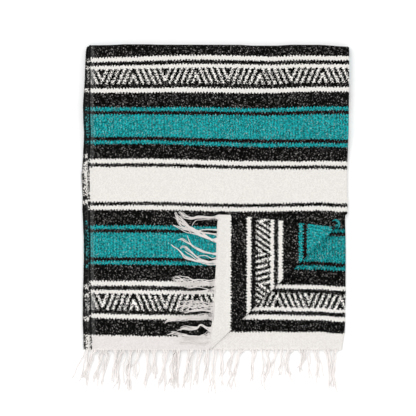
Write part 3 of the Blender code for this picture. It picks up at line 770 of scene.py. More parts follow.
def lay_sheet(name, rows, material, keep_q=(None, None)):
    """A wall of cloth under rows of (point, place on the cloth), kept between two lines off the diagonal."""
    bm = bmesh.new()
    uv = bm.loops.layers.uv.new("cloth")
    grid = [[(bm.verts.new(point), place) for point, place in row] for row in rows]
    for near, far in zip(grid, grid[1:]):
        for i in range(len(near) - 1):
            add_face(bm, uv, (near[i], near[i + 1], far[i + 1], far[i]))
    for q, outward in zip(keep_q, (-1, 1)):
        if q is None:
            continue
        at = DIAGONAL_START + INWARD * q
        bmesh.ops.bisect_plane(
            bm, geom=bm.verts[:] + bm.edges[:] + bm.faces[:], plane_co=(at.x, at.y, 0.0),
            plane_no=(INWARD.x * outward, INWARD.y * outward, 0.0), clear_outer=True)
    piece = add_piece(name, bm, material)
    wall = piece.modifiers.new("wall", "SOLIDIFY")
    wall.thickness = PLY - GAP
    wall.offset = -1.0
    wall.use_even_offset = False
    mesh = bake(piece, wall)
    bm = bmesh.new()
    bm.from_mesh(mesh)
    harden(bm)
    bm.to_mesh(mesh)
    bm.free()
    return piece


def round_fold(at, reach, level, degrees):
    """Points round a side fold, each with its place, its height and how far along the cloth it is laid."""
    return [(at + reach * cosine, level + PLY * sine, at + PLY * math.radians(90 - angle))
            for angle, cosine, sine in arc(degrees)]


rows = []
count = round((LOWER_LAYER_END - BOTTOM) / CLOTH_STEP)
for step in range(count + 1):
    run = (LOWER_LAYER_END - BOTTOM) * step / count
    fold = edge_at("lower_fold", run_y(run)) - PLY
    flat = [LOWER_LAYER_LEFT + (fold - LOWER_LAYER_LEFT) * i / 61 for i in range(62)]
    row = [(x, 2 * PLY, x) for x in flat] + round_fold(fold, PLY + 2 * SLACK, PLY, range(75, -76, -15))
    rows.append([(lie(x, n, run), cloth_at(3, laid, run)) for x, n, laid in row])
# The lower layer's dark and teal stripes are darker by a painted shade of 0.80.
lower_layer = lay_sheet(
    "lower_layer_cloth", rows, finish_cloth("lower layer cloth", weave, layer_shade=0.80), (None, LOWER_LAYER_TUCK))
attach(lower_layer, "root")
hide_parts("lower_layer")

# The top layer.
# The same cloth, on top: from the near cut end up to the tucked edge, round it and under the stack.
# Its selvage is on the left and the side-to-side fold on the right.
TOP_SELVAGE_INSET = 0.0014

rows = []
tuck_run = WHOLE_RUN - FLAT_RUN - NOSE_RUN
runs = [FLAT_RUN * i / 118 for i in range(118)]
runs += [FLAT_RUN + NOSE_RUN * i / 14 for i in range(14)]
runs += [FLAT_RUN + NOSE_RUN + tuck_run * i / 30 for i in range(31)]
for run in runs:
    left, fold = edge_at("top_selvage", run_y(run)) + TOP_SELVAGE_INSET, edge_at("upper_fold", run_y(run)) - PLY
    flat = [left + step for step in (0, 0.0016, 0.0032, 0.005)]
    flat += [flat[-1] + (fold - flat[-1]) * i / 96 for i in range(1, 97)]
    row = [(x, 4 * PLY, x) for x in flat] + round_fold(fold, PLY, 3 * PLY, range(70, -91, -20))
    row += [(fold - step, 2 * PLY, fold + PLY * math.pi + step) for step in (0.005, 0.010)]
    rows.append([(lie(x, n, run), cloth_at(1, laid, run)) for x, n, laid in row])
top_layer = lay_sheet("top_layer_cloth", rows, finish_cloth("top layer cloth", weave), (CREASE_Q + GAP, None))
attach(top_layer, "root")
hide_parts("top_layer")

# The turned corner.
# The near end's lower right corner, both layers of it, turned back over a diagonal fold and laid on top.
# The face that shows is the second layer's, and the first layer shows as a rim along its cut end.
CORNER_TIP = Vector((0.0, -0.0388))
CREASE_HEIGHT = 4 * PLY + GAP / 2
FLAP_FOLD_REACH = 0.426
FLAP_CURL_REACH = 0.456
TIP_P = (CORNER_TIP - DIAGONAL_START).dot(ALONG)
TIP_Q = (CORNER_TIP - DIAGONAL_START).dot(INWARD)
TIP_TRIM = 0.001
OBLIQUE = 1.4
OBLIQUE_SHARE = 0.3
FLAP_TILT = 0.106
FLAP_LEVEL = 0.0365
FLAP_TILT_REACH = 0.045
FOLD_PRESS = 2.6 * PLY
FOLD_PRESS_RUN = 0.105
FOLD_PRESS_REACH = 0.030
FLAP_SKEW = 0.22
FLAP_LEAN = 0.004
FLAP_FOLD_ABOVE_TIP = 0.0114

# How far the cut end is drawn in from its straight line, by the distance down from its tip.
CUT_END_DRAW = (
    (0, 0.0068), (0.02, 0.0054), (0.065, 0.005), (0.118, 0.0066), (0.16, 0.0062), (0.21, 0.0046),
    (0.254, 0.0044), (0.283, 0.0008), (0.302, -0.002), (0.332, 0),
)
CUT_END_DRAW_REACH = 0.030

# How its stripes lie: distance laid from the cut end, and distance along the cloth as woven.
FLAP_END = (
    (-0.008, 0), (0.0343, 0.042), (0.0719, 0.0773), (0.0817, 0.0879), (0.095, 0.0995), (0.1302, 0.1374),
    (0.138, 0.1463), (0.1477, 0.1561), (0.1594, 0.1677), (0.1965, 0.2062), (0.2066, 0.2152), (0.2174, 0.2244),
    (0.33, 0.3358),
)


def cut_end_x(y):
    """Where the straight line of the turned corner's cut end lies at y."""
    return DIAGONAL_START.x * (CORNER_TIP.y - y) / (CORNER_TIP.y - BOTTOM)


def cut_end_draw(y):
    """How far the cut end is drawn in from its straight line at y."""
    return read(CUT_END_DRAW, CORNER_TIP.y - y)


def pressed_height(place, height):
    """The height of a point of the turned corner, once its fold is pressed down near the cut end."""
    p, q = (place - DIAGONAL_START).dot(ALONG), (place - DIAGONAL_START).dot(INWARD)
    share = smooth(1 - p / FOLD_PRESS_RUN) * smooth(1 - q / FOLD_PRESS_REACH)
    return height - FOLD_PRESS * share * max(0.0, height - 2 * PLY) / (4 * PLY)


def corner_place(p, q, height):
    """Where a point of the turned corner lies, by its distances along and off the fold."""
    place = DIAGONAL_START + ALONG * p + INWARD * q
    near_tip = smooth(1 - (CORNER_TIP.y - place.y) / FLAP_TILT_REACH)
    level = FLAP_TILT * max(0.0, FLAP_LEVEL - place.x) * near_tip
    from_end = max(0.0, place.x - cut_end_x(place.y))
    x = place.x + cut_end_draw(place.y) * (1 - smooth(from_end / CUT_END_DRAW_REACH))
    return settle(Vector((x, place.y - level, pressed_height(place, height))))


def corner_cloth(p, q):
    """The place on the flat cloth of a point of the turned corner, by its distances along and off the fold."""
    place = DIAGONAL_START + ALONG * p + INWARD * q
    below_fold = CORNER_TIP.y + FLAP_FOLD_ABOVE_TIP - FLAP_SKEW * place.x - place.y
    from_end = place.x + FLAP_LEAN * (CORNER_TIP.y - place.y)
    return CUT_WIDTH / 2 + below_fold, read(FLAP_END, from_end)


def corner_rows(level, left_show, right_draw, wrap):
    """Rows of a turned layer, from under the diagonal fold, round it and out to the tip."""
    middle = level * PLY
    outer = middle + (0.5 * PLY - GAP / 2)
    steps = [(math.pi * (1 - i / 14), 0.0) for i in range(15)]
    reach = TIP_Q - CREASE_Q - TIP_TRIM
    steps += [(0.0, reach * i / 40) for i in range(1, 41)]
    rows = []
    for turn, beyond in steps:
        share = (beyond + CREASE_Q) / TIP_Q if beyond else CREASE_Q / TIP_Q * (1 - turn / math.pi)
        fold_end = FLAP_FOLD_REACH + (FLAP_CURL_REACH - FLAP_FOLD_REACH) * turn / math.pi
        left = TIP_P * share - left_show
        right = fold_end + (TIP_P - fold_end) * share - right_draw
        round_in = min(OBLIQUE * PLY, OBLIQUE_SHARE * (right - left))
        flat = [left + (right - round_in - left) * i / 60 for i in range(61)]
        row = [(p, outer, p) for p in flat] + round_fold(right - round_in, round_in, outer - PLY, wrap)
        points = []
        for p, n, laid in row:
            unrolled = CREASE_Q + beyond - middle * turn
            q = CREASE_Q + beyond - n * math.sin(turn)
            place = corner_place(p, q, CREASE_HEIGHT + n * math.cos(turn))
            points.append((place, corner_cloth(laid, unrolled)))
        rows.append(points)
    return rows


turned_corner = lay_sheet(
    "turned_corner_cloth", corner_rows(1.5, 0.0, 0.0, range(70, -71, -20)),
    finish_cloth("turned corner cloth", weave))
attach(turned_corner, "root")
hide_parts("turned_corner")
under_corner = lay_sheet(
    "corner_under_layer_cloth", corner_rows(0.5, 0.005, 2 * PLY, (60, 30, 0)),
    finish_cloth("corner under layer cloth", weave))
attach(under_corner, "root")
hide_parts("corner_under_layer")

# The curl at the turned corner's upper end.
# Where the diagonal fold meets the side fold, the two layers stand up in a small rolled ear.
CURL_PATH = rows_of(
    "x y rise width",
    (0.279, -0.0585, 0.001, 0.0034), (0.2845, -0.0556, 0.0022, 0.0052), (0.2896, -0.0566, 0.003, 0.0066),
    (0.2937, -0.0605, 0.0034, 0.0068), (0.2957, -0.066, 0.0032, 0.0062), (0.2948, -0.0716, 0.0022, 0.0046),
    (0.2922, -0.0758, 0.0008, 0.003),
)
CURL_CENTRE = Vector((0.2840, -0.0660))
CURL_TEAL = (0.30, 0.245)
CURL_BLACK = (0.30, 0.205)
CURL_INSIDE = range(4, 8)
CURL_FLAT = 0.3
CURL_LEVEL = CREASE_HEIGHT + 1.35 * PLY
CURL_HALF = 0.62


def build_corner_curl(material):
    """A rolled lip of cloth: a flat tube along a short curve, teal outside and black inside."""
    bm = bmesh.new()
    uv = bm.loops.layers.uv.new("cloth")
    rings = []
    steps = 24
    for step in range(steps + 1):
        low, part = between(range(len(CURL_PATH)), step / steps * (len(CURL_PATH) - 1))
        row = {key: CURL_PATH[low][key] * (1 - part) + CURL_PATH[low + 1][key] * part for key in CURL_PATH[0]}
        outward = (Vector((row["x"], row["y"])) - CURL_CENTRE).normalized()
        taper = math.sin(math.pi * (step + 0.6) / (steps + 1.2)) ** 0.4
        ring = []
        for _, cosine, sine in arc(range(0, 360, 30)):
            place = Vector((row["x"], row["y"])) + outward * (cosine * row["width"] / 2 * taper)
            height = CURL_LEVEL + row["rise"] + sine * PLY * CURL_HALF * taper
            ring.append(bm.verts.new(settle(Vector((place.x, place.y, height)))))
        rings.append(ring)
    for near, far in zip(rings, rings[1:]):
        for i in range(12):
            j = (i + 1) % 12
            across, along = CURL_BLACK if i in CURL_INSIDE else CURL_TEAL
            add_face(bm, uv, [
                (vert, (across + vert.co.x - CURL_CENTRE.x, along + (vert.co.y - CURL_CENTRE.y) * CURL_FLAT))
                for vert in (near[i], near[j], far[j], far[i])])
    for ring in (rings[0], rings[-1]):
        add_face(bm, uv, [(vert, CURL_TEAL) for vert in ring])
    bmesh.ops.recalc_face_normals(bm, faces=bm.faces[:])
    return add_piece("corner_curl", bm, material)


corner_curl = build_corner_curl(finish_cloth("corner curl cloth", weave))
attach(corner_curl, "root")

# The selvage cords.
# The outermost warps are doubled and twisted, and the weft turns round them, so each woven side edge
# ends in a two-ply cord: one ply is black, and the other takes the stripe's own colour.
CORD_PITCH = 0.0080
CORD_RADIUS = 0.00165
TOP_CORD_RADIUS = CORD_RADIUS + 0.0003
CORD_LOBES = 0.42
CORD_STEP = 0.0013
TOP_CORD_INSET = 0.0019
CORD_INSET = 0.0020
CORD_END = 0.001
CORD_LOWEST = 0.0022
TOP_CORD_LEVEL = 3.62 * PLY
CORD_LEVEL = 0.55
ZIGZAG_SHARE = 0.6
TOP_BARE_SHARE = 0.42
BARE_SHARE = 0.66
CORD_WARP = linear(12, 12, 12)
CORD_BLACK = linear(16, 16, 16)
CORD_TEAL = linear(24, 132, 134)
CORD_WHITE = linear(232, 229, 224)


def move_points(tree, operation, first, second):
    return add_node(tree, "ShaderNodeVectorMath", operation=operation, Vector=first, Vector_001=second)


def build_yarn_tree():
    """Geometry Nodes: sweep a two-lobed yarn along every path, twisting, wavering and thinning as told."""
    tree, given, result = start_tree(
        "spun yarn", "GeometryNodeTree",
        [("Paths", "Geometry"), ("Yarn Radius", "Float", 0.0009), ("Twist Pitch", "Float", 0.008),
         ("Lobe Depth", "Float", 0.22), ("Waver", "Float", 0.0), ("Waver Scale", "Float", 90.0),
         ("Seed", "Float", 7.0), ("Sides", "Int", 8), ("Finish", "Material")],
        [("Yarns", "Geometry")])
    curves = add_node(tree, "GeometryNodeMeshToCurve", Mesh=given["Paths"])

    # Waver grows from nothing at the root, and stays level.
    where = add_node(tree, "GeometryNodeInputPosition")
    spline = add_node(tree, "GeometryNodeSplineParameter").outputs
    ripple = add_node(
        tree, "ShaderNodeTexNoise", Vector=move_points(tree, "ADD", where, given["Seed"]),
        Scale=given["Waver Scale"], Detail=1.0)
    centred = move_points(tree, "SUBTRACT", ripple.outputs["Color"], (0.5, 0.5, 0.5))
    sideways = move_points(tree, "MULTIPLY", centred, (1.0, 1.0, 0.0))
    growth = reckon("SMOOTH_MIN", Field(spline["Factor"]), 0.35, 0.1) * given["Waver"]
    offset = add_node(tree, "ShaderNodeVectorMath", operation="SCALE", Vector=sideways, Scale=growth)
    wavered = add_node(tree, "GeometryNodeSetPosition", Geometry=curves, Offset=offset)
    thin = add_node(tree, "GeometryNodeInputNamedAttribute", data_type="FLOAT", Name="thickness")
    sized = add_node(tree, "GeometryNodeSetCurveRadius", Curve=wavered, Radius=thin)
    turn = Field(spline["Length"]) * (2 * math.pi) / given["Twist Pitch"]
    twisted = add_node(tree, "GeometryNodeSetCurveTilt", Curve=sized, Tilt=turn)

    # The yarn's section: a circle pressed into two lobes, one for each ply.
    circle = add_node(
        tree, "GeometryNodeCurvePrimitiveCircle", Resolution=given["Sides"], Radius=given["Yarn Radius"])
    split = add_node(tree, "ShaderNodeSeparateXYZ", Vector=where).outputs
    pinch = add_node(tree, "ShaderNodeCombineXYZ", Y=Field(split["Y"]) * -1.0 * given["Lobe Depth"])
    section = add_node(tree, "GeometryNodeSetPosition", Geometry=circle, Offset=pinch)
    ply = add_node(
        tree, "GeometryNodeStoreNamedAttribute", data_type="FLOAT", domain="POINT", Geometry=section,
        Name="ply", Value=reckon("GREATER_THAN", Field(split["X"]), 0.0))
    swept = add_node(
        tree, "GeometryNodeCurveToMesh", Curve=twisted, Profile_Curve=ply, Scale=thin, Fill_Caps=True)
    soft = add_node(tree, "GeometryNodeSetShadeSmooth", Geometry=swept)
    real = add_node(tree, "GeometryNodeRealizeInstances", Geometry=soft)
    dressed = add_node(tree, "GeometryNodeSetMaterial", Geometry=real, Material=given["Finish"])
    put(dressed, result["Yarns"])
    return tree


def spin_yarns(name, paths, tree, material, **sizes):
    """Run the yarn tree on paths of (point, thickness, place on the cloth), and keep the result as a mesh."""
    mesh = bpy.data.meshes.new(name + "_paths")
    points, thickness, places = zip(*(row for path in paths for row in path))
    across, along = zip(*places)
    edges, first = [], 0
    for path in paths:
        edges += [(first + i, first + i + 1) for i in range(len(path) - 1)]
        first += len(path)
    mesh.from_pydata(points, edges, [])
    for label, values in (("thickness", thickness), ("across", across), ("along", along)):
        mesh.attributes.new(label, "FLOAT", "POINT").data.foreach_set("value", values)
    piece = add_object(name, mesh)
    spun = piece.modifiers.new("yarn", "NODES")
    spun.node_group = tree
    ids = {s.name: s.identifier for s in tree.interface.items_tree if s.in_out == "INPUT"}
    for label, value in (sizes | {"Finish": material}).items():
        spun[ids[label.replace("_", " ")]] = value
    bake(piece, spun)
    return piece


def finish_cord(name, stripes, bare_share):
    """Two-ply cord: one ply black, the other the stripe's colour, with black warp showing in places."""
    material, tree, shader = start_finish(name, roughness=0.9, specular=0.25)
    along, ply = (add_node(tree, "ShaderNodeAttribute", attribute_name=label) for label in ("along", "ply"))
    stripe = add_node(tree, "ShaderNodeGroup", node_tree=stripes, Along=along.outputs["Fac"]).outputs
    place = add_node(tree, "ShaderNodeTexCoord").outputs["Object"]
    fluff = mottle(tree, place, 420.0, 3.0)
    pale = reckon("MAXIMUM", Field(stripe["White"]), Field(stripe["Zigzag"]) * ZIGZAG_SHARE)
    own = tint(pale, tint(Field(stripe["Teal"]), CORD_BLACK, CORD_TEAL), CORD_WHITE)
    bare = reckon("LESS_THAN", mottle(tree, place, 190.0, 2.0), bare_share)
    black = reckon("MAXIMUM", reckon("GREATER_THAN", Field(ply.outputs["Fac"]), 0.5), bare)
    put(shaded(tint(black, own, CORD_WARP), fluff.line(0.5, 0.75)), shader["Base Color"])
    add_relief(tree, shader, fluff, strength=0.5, distance=0.0004)
    return material


def cord_path(layer, edge, drawn_in, n):
    """Along one woven edge, from its cut end, up over the tucked edge and under."""
    path = []
    steps = round(WHOLE_RUN / CORD_STEP)
    for step in range(steps + 1):
        run = CORD_END + (WHOLE_RUN - 2 * CORD_END) * step / steps
        x = edge_at(edge, run_y(run)) + drawn_in
        point = lie(x, n, run)
        point.z = max(point.z, CORD_LOWEST)
        path.append((point, 1.0, cloth_at(layer, x, run)))
    return path


yarn_tree = build_yarn_tree()
cord_sizes = dict(Twist_Pitch=CORD_PITCH, Lobe_Depth=CORD_LOBES)
top_cord = spin_yarns(
    "top_selvage_cord", [cord_path(1, "top_selvage", TOP_CORD_INSET, TOP_CORD_LEVEL)], yarn_tree,
    finish_cord("top selvage cord", stripes, TOP_BARE_SHARE), Yarn_Radius=TOP_CORD_RADIUS, Sides=10,
    **cord_sizes)
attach(top_cord, "root")
low_cords = spin_yarns(
    "lower_selvage_cords",
    [cord_path(4 - number, "low_selvage", drawn_in + CORD_INSET, (number + CORD_LEVEL) * PLY)
     for number, drawn_in in enumerate(SELVAGE_STAGGER)],
    yarn_tree, finish_cord("lower selvage cords", stripes, BARE_SHARE), Yarn_Radius=CORD_RADIUS, Sides=8,
    **cord_sizes)
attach(low_cords, "root")

# The fringes.
# The warp ends left past the last weft at each cut end: thin two-ply yarns, loosely gathered in locks.
# The near end's lies over the far end's, and the turned corner's lies on the top layer.
STRAND_SPACING = 0.0045
STRAND_RADIUS = 0.00135
YARN_RADIUS = 0.00110
YARN_STEP = 0.0024
HELD_STEP = 0.0011
YARN_TAG = 0.37
JITTER = 0.3
REACHES = (0.92, 1.24)
ROOT_GATHER = 0.35
GATHERS = (0.94, 1.0)
STRAYS = 0.03
STRAY_GATHER = 0.5
STRAY_REACHES = (0.045, 0.075)
STRAY_SPLAY = 0.006
SPLAY = 0.0062
CURL = 0.0028
LOCK_RUN = 0.014
ROPE_RUN = 0.013
ROPE_DROP = 0.026
ROPE_REACHES = (0.84, 1.0)
ROPE_SPLAY = 0.5
ROPE_WANDER = 0.45
ROPE_TURN = 0.26
ROPE_LANES = 1.4
ROPE_MARGIN = 0.0010
ROPE_LEAST = 0.0004
STRAND_TAPER, STRAND_TIP = 0.12, 0.5
YARN_TAPER, YARN_TIP = 0.25, 0.45
FRINGE_YARNS = (linear(247, 242, 239), linear(236, 230, 227))
LOWER_FRINGE_SHIFT = 0.0148
LOCK_NAMES = "at width lean tip reach"
TOP_LAYER_LOCKS = rows_of(
    LOCK_NAMES,
    (0.004, 0.01, -0.004, -0.018, 0.07), (0.035, 0.03, -0.004, -0.015, 0.074),
    (0.063, 0.009, -0.002, -0.004, 0.064), (0.08, 0.021, -0.004, -0.016, 0.08),
    (0.096, 0.003, -0.002, -0.003, 0.082), (0.117, 0.01, -0.003, -0.01, 0.068),
    (0.137, 0.013, 0.002, -0.001, 0.076), (0.151, 0.003, 0.003, 0.01, 0.06),
    (0.178, 0.02, -0.001, -0.005, 0.083), (0.207, 0.022, -0.002, -0.005, 0.078),
    (0.246, 0.015, -0.004, -0.015, 0.086), (0.266, 0.011, -0.004, -0.011, 0.074),
    (0.285, 0.009, -0.002, -0.007, 0.076),
)
LOWER_LAYER_LOCKS = rows_of(
    LOCK_NAMES,
    (0.001, 0.004, -0.006, -0.03, 0.062), (0.007, 0.008, -0.004, -0.018, 0.072),
)
LOWER_LAYER_LOCKS += [lock | dict(at=lock["at"] + LOWER_FRINGE_SHIFT, shown=0.35) for lock in TOP_LAYER_LOCKS]
LOWER_LAYER_LOCKS += rows_of(
    LOCK_NAMES,
    (0.318, 0.006, -0.004, -0.008, 0.088), (0.33, 0.007, 0.003, 0.002, 0.079),
    (0.362, 0.004, -0.005, -0.012, 0.056), (0.376, 0.01, -0.006, -0.021, 0.084),
    (0.414, 0.005, -0.004, -0.01, 0.063), (0.429, 0.01, 0.002, -0.001, 0.088),
    (0.441, 0.004, 0.006, -0.004, 0.063), (0.466, 0.006, -0.004, -0.018, 0.059),
    (0.477, 0.005, 0.001, -0.002, 0.054), (0.496, 0.008, -0.006, 0.003, 0.063),
    (0.532, 0.01, 0.0, -0.008, 0.045), (0.543, 0.012, 0.002, 0.006, 0.068), (0.558, 0.006, 0.004, 0.008, 0.07),
    (0.59, 0.009, 0.003, 0.006, 0.077), (0.606, 0.01, -0.002, -0.001, 0.086),
)

# The turned corner's fringe is gathered in ropes: how many yarns, where the first and the last leave the
# cut edge, and the rope's run over the top layer as (x, y, width), all in millimetres.
ROPES = rows_of(
    "yarns first last run",
    (9, 4, 16, ((-0.2, -48.4, 6.3), (-19.8, -49.6, 5.8), (-41.1, -48.2, 6.3), (-59.3, -51.3, 8.3),
        (-74.4, -48.4, 8.3), (-84.8, -42.6, 10.2), (-93.7, -37.7, 13.4), (-100.5, -34.4, 17))),
    (1, 16, 18, ((-7.2, -54.5, 1.2), (-43.6, -55.2, 1.5), (-54.7, -60.5, 1.5), (-60.8, -70.2, 1.5),
        (-59.8, -77.5, 1.5))),
    (3, 38, 44, ((-0.2, -79.9, 3.4), (-19.3, -79, 3.4), (-35.1, -79.7, 3.9), (-48.4, -82.4, 4.4),
        (-65.4, -75.1, 5.8), (-79.9, -61.7, 6.3), (-92, -47.2, 7.3), (-99.3, -38.7, 9.7))),
    (3, 49, 56, ((-0.9, -90.4, 3.9), (-19.8, -87.9, 3.9), (-35.1, -86.7, 4.9), (-50.1, -82.8, 6.3),
        (-65.4, -76, 7.8), (-78.7, -63.9, 8.3), (-89.6, -52, 9.7), (-97.4, -41.1, 12.2))),
    (12, 60, 72, ((-1.6, -103.7, 8.7), (-10.8, -104.2, 7.8), (-19.8, -99.3, 7.3), (-35.1, -92.8, 10.2),
        (-50.1, -85.3, 13.2), (-64.2, -77.5, 16.8), (-78.5, -68.8, 16.4), (-89.2, -60.9, 14.2),
        (-98, -48.5, 12.7), (-103.3, -38, 10.5))),
    (5, 63, 69, ((-2.8, -105.4, 3.6), (-19.8, -100.8, 3.6), (-35.1, -95.2, 4.9), (-50.1, -87.9, 6.1),
        (-65.4, -82.8, 9.7), (-80.4, -77.5, 10.2), (-92.5, -74.1, 8.7), (-107.6, -69.3, 6.1))),
    (4, 97, 103, ((-3.8, -139.6, 5.8), (-19.8, -135.9, 5.8), (-35.1, -131.3, 6.3), (-50.1, -125, 6.8),
        (-60.5, -117.7, 6.3), (-68.3, -105.6, 5.3), (-74.4, -89.6, 4.4))),
    (3, 95, 100, ((-4.1, -138.1, 2.4), (-19.8, -134.7, 2.9), (-35.1, -129.9, 3.4), (-50.1, -123.6, 4.9),
        (-64.2, -114.4, 5.8), (-76, -108, 6.3), (-86, -102.2, 4.9), (-101.7, -103.2, 2.2))),
    (2, 107, 111, ((-4.3, -146.8, 2.9), (-11.3, -150, 2.9), (-23, -143.9, 2.9), (-31.9, -141.5, 3.4),
        (-43.6, -142.7, 3.4), (-50.8, -146.6, 2.9))),
    (6, 118, 126, ((-4.3, -160.9, 8.3), (-19.8, -160.4, 7.8), (-35.1, -157.3, 6.8), (-48.4, -155.1, 6.3),
        (-63, -150.2, 6.3), (-78, -144.7, 6.3), (-85.3, -136.2, 4.4), (-95.7, -126, 3.4), (-106.4, -119.4, 2.9),
        (-113.4, -110.5, 1.9))),
    (5, 114, 120, ((-4.3, -157.5, 5.3), (-19.8, -158, 5.3), (-35.1, -154.3, 5.8), (-47.2, -146.8, 5.8),
        (-59.3, -136.2, 5.3), (-68.8, -128.4, 5.3), (-77.5, -121.6, 6.3), (-85.3, -121.1, 5.3),
        (-89.1, -126.5, 3.9))),
    (2, 112, 115, ((-4.3, -155.1, 2.4), (-29, -156, 2.4), (-50.8, -150.2, 2.4), (-61.7, -142, 2.4),
        (-72.7, -135.7, 2.9), (-78.7, -130.4, 2.4))),
    (15, 160, 177, ((-7.2, -207.4, 12.2), (-19.8, -209.4, 12.2), (-35.1, -208.2, 14.6), (-50.1, -206.7, 18),
        (-65.4, -207.4, 20.4), (-79.9, -206, 20.4), (-94.5, -203.1, 19.4), (-108.3, -197.7, 13.4))),
    (5, 180, 188, ((-9.6, -222, 7.3), (-24.2, -227.3, 6.3), (-41.1, -229.3, 6.3), (-60.5, -231.7, 6.8),
        (-79.9, -232.4, 6.3), (-99.3, -229.3, 4.9))),
    (2, 190, 194, ((-10.6, -229, 2.4), (-24.2, -223, 2.4), (-38.7, -219.6, 2.9), (-53.3, -217.6, 3.4),
        (-70.2, -219.6, 3.4))),
    (13, 216, 236, ((-13.3, -265.1, 14.3), (-29, -265, 15.9), (-46, -261.2, 18.3), (-65.4, -259.9, 20.7),
        (-79.9, -263.8, 19.7), (-94.5, -268.6, 15.2))),
    (5, 234, 243, ((-14.5, -277.5, 3.9), (-31.4, -274.3, 3.4), (-50.8, -274.8, 4.9), (-67.8, -277.7, 5.3),
        (-79.9, -282.6, 6.3))),
    (4, 275, 282, ((-16.1, -320.5, 3.2), (-27, -315.1, 3.2), (-39.1, -308.5, 3.2), (-47.7, -316, 5.4),
        (-65.4, -317.5, 7.8), (-79.9, -317.3, 8.3), (-97, -322.5, 7.3))),
    (4, 282, 289, ((-17.6, -323.3, 2.9), (-28, -317.6, 2.9), (-40.1, -311, 3.4), (-48.5, -318, 5),
        (-65.4, -319.5, 7.8), (-80.4, -320.5, 8.3), (-100, -325.1, 6.3))),
    (10, 242, 262, ((-16.2, -286, 14.2), (-29, -288.9, 12.7), (-48.4, -291.8, 11.7), (-70.2, -293.7, 10.7),
        (-92, -295.2, 8.7), (-108, -297.3, 7.3), (-121, -301, 7.3), (-127, -306.5, 5))),
    (5, 284, 297, ((-20.3, -328.6, 11.2), (-30.2, -335, 8.7), (-46, -339.3, 7.3), (-65.4, -341.7, 7.3),
        (-84.8, -342.7, 7.3))),
    (6, 294, 304, ((-20.3, -338.4, 4.8), (-41.1, -338, 4), (-65.4, -337, 4), (-84.2, -333, 7.4),
        (-104, -329.6, 9.4), (-121.6, -332.2, 6.4))),
    (3, 309, 326, ((-20.5, -355.3, 9.7), (-46, -354.8, 7.3), (-70.2, -351.4, 7.3), (-94.5, -350.9, 7.3))),
)


def yarn_point(place, height, thickness, number, share):
    """A point of a yarn's path, with its thickness, its yarn's own tag and its share of the way."""
    return settle(Vector((place.x, place.y, height))), thickness, (number * YARN_TAG, share)


def fringe_paths(start, end, root, rest, pile, locks, seed):
    """Paths for the strands along a cut edge, each of two or three warp ends, drawn to the nearest lock."""
    chance = random.Random(seed)
    edge = (end - start).normalized()
    out = Vector((edge.y, -edge.x))
    paths = []
    for number in range(round((end - start).length / STRAND_SPACING)):
        at = (number + 0.5 + chance.uniform(-JITTER, JITTER)) * STRAND_SPACING
        lock = min(locks, key=lambda row: abs(row["at"] - at))
        if chance.random() > lock.get("shown", 1.0):
            continue
        stray = chance.random() < STRAYS
        gather = STRAY_GATHER if stray else chance.uniform(*GATHERS)
        lie_beside = lock["width"] / 2 * chance.uniform(-1, 1)
        splay = chance.gauss(0, SPLAY)
        reach = lock["reach"] * chance.uniform(*REACHES)
        if stray:
            reach = chance.uniform(*STRAY_REACHES)
            splay += chance.gauss(0, STRAY_SPLAY)
        curl = chance.gauss(0, CURL)
        phase = chance.uniform(0, 2 * math.pi)
        level = chance.random()
        steps = max(12, round(reach / YARN_STEP))
        path = []
        for step in range(-2, steps + 1):
            share = max(0.0, step / steps)
            drawn = (ROOT_GATHER + (1 - ROOT_GATHER) * smooth(share * reach / LOCK_RUN)) * gather
            sideways = lock["lean"] * math.sin(math.pi * share) + lock["tip"] * share * share
            beside = (at - lock["at"]) * (1 - drawn) + lie_beside * drawn * (1 - 0.5 * share)
            beside = beside + splay * share * share + curl * math.sin(phase + 8 * share) * smooth(share * 3)
            away = reach * share + min(0, step) * HELD_STEP
            place = start + edge * (lock["at"] + sideways + beside) + out * (away + 2 * SLACK)
            settled = smooth(share * 1.5)
            height = root * (1 - settled) + (rest + pile * level * (1 - 0.55 * share)) * settled
            thickness = 1.0 - STRAND_TAPER * share if step < steps else STRAND_TIP
            path.append(yarn_point(place, height, thickness, number, share))
        paths.append(path)
    return paths


def curve_between(before, near, far, after, share):
    """A point on the smooth curve between two stops of a run."""
    return 0.5 * (2 * near + (far - before) * share + (2 * before - 5 * near + 4 * far - after) * share ** 2
                  + (3 * near - before - 3 * far + after) * share ** 3)


def rope_line(run):
    """A rope's run as close-set points on a smooth curve through its stops."""
    stops = [Vector(stop) / 1000 for stop in run]
    line = []
    for i in range(len(stops) - 1):
        before, after = stops[max(0, i - 1)], stops[min(len(stops) - 1, i + 2)]
        pieces = max(2, round((stops[i + 1] - stops[i]).length / YARN_STEP))
        line += [curve_between(before, stops[i], stops[i + 1], after, step / pieces) for step in range(pieces)]
    return line + [stops[-1]]


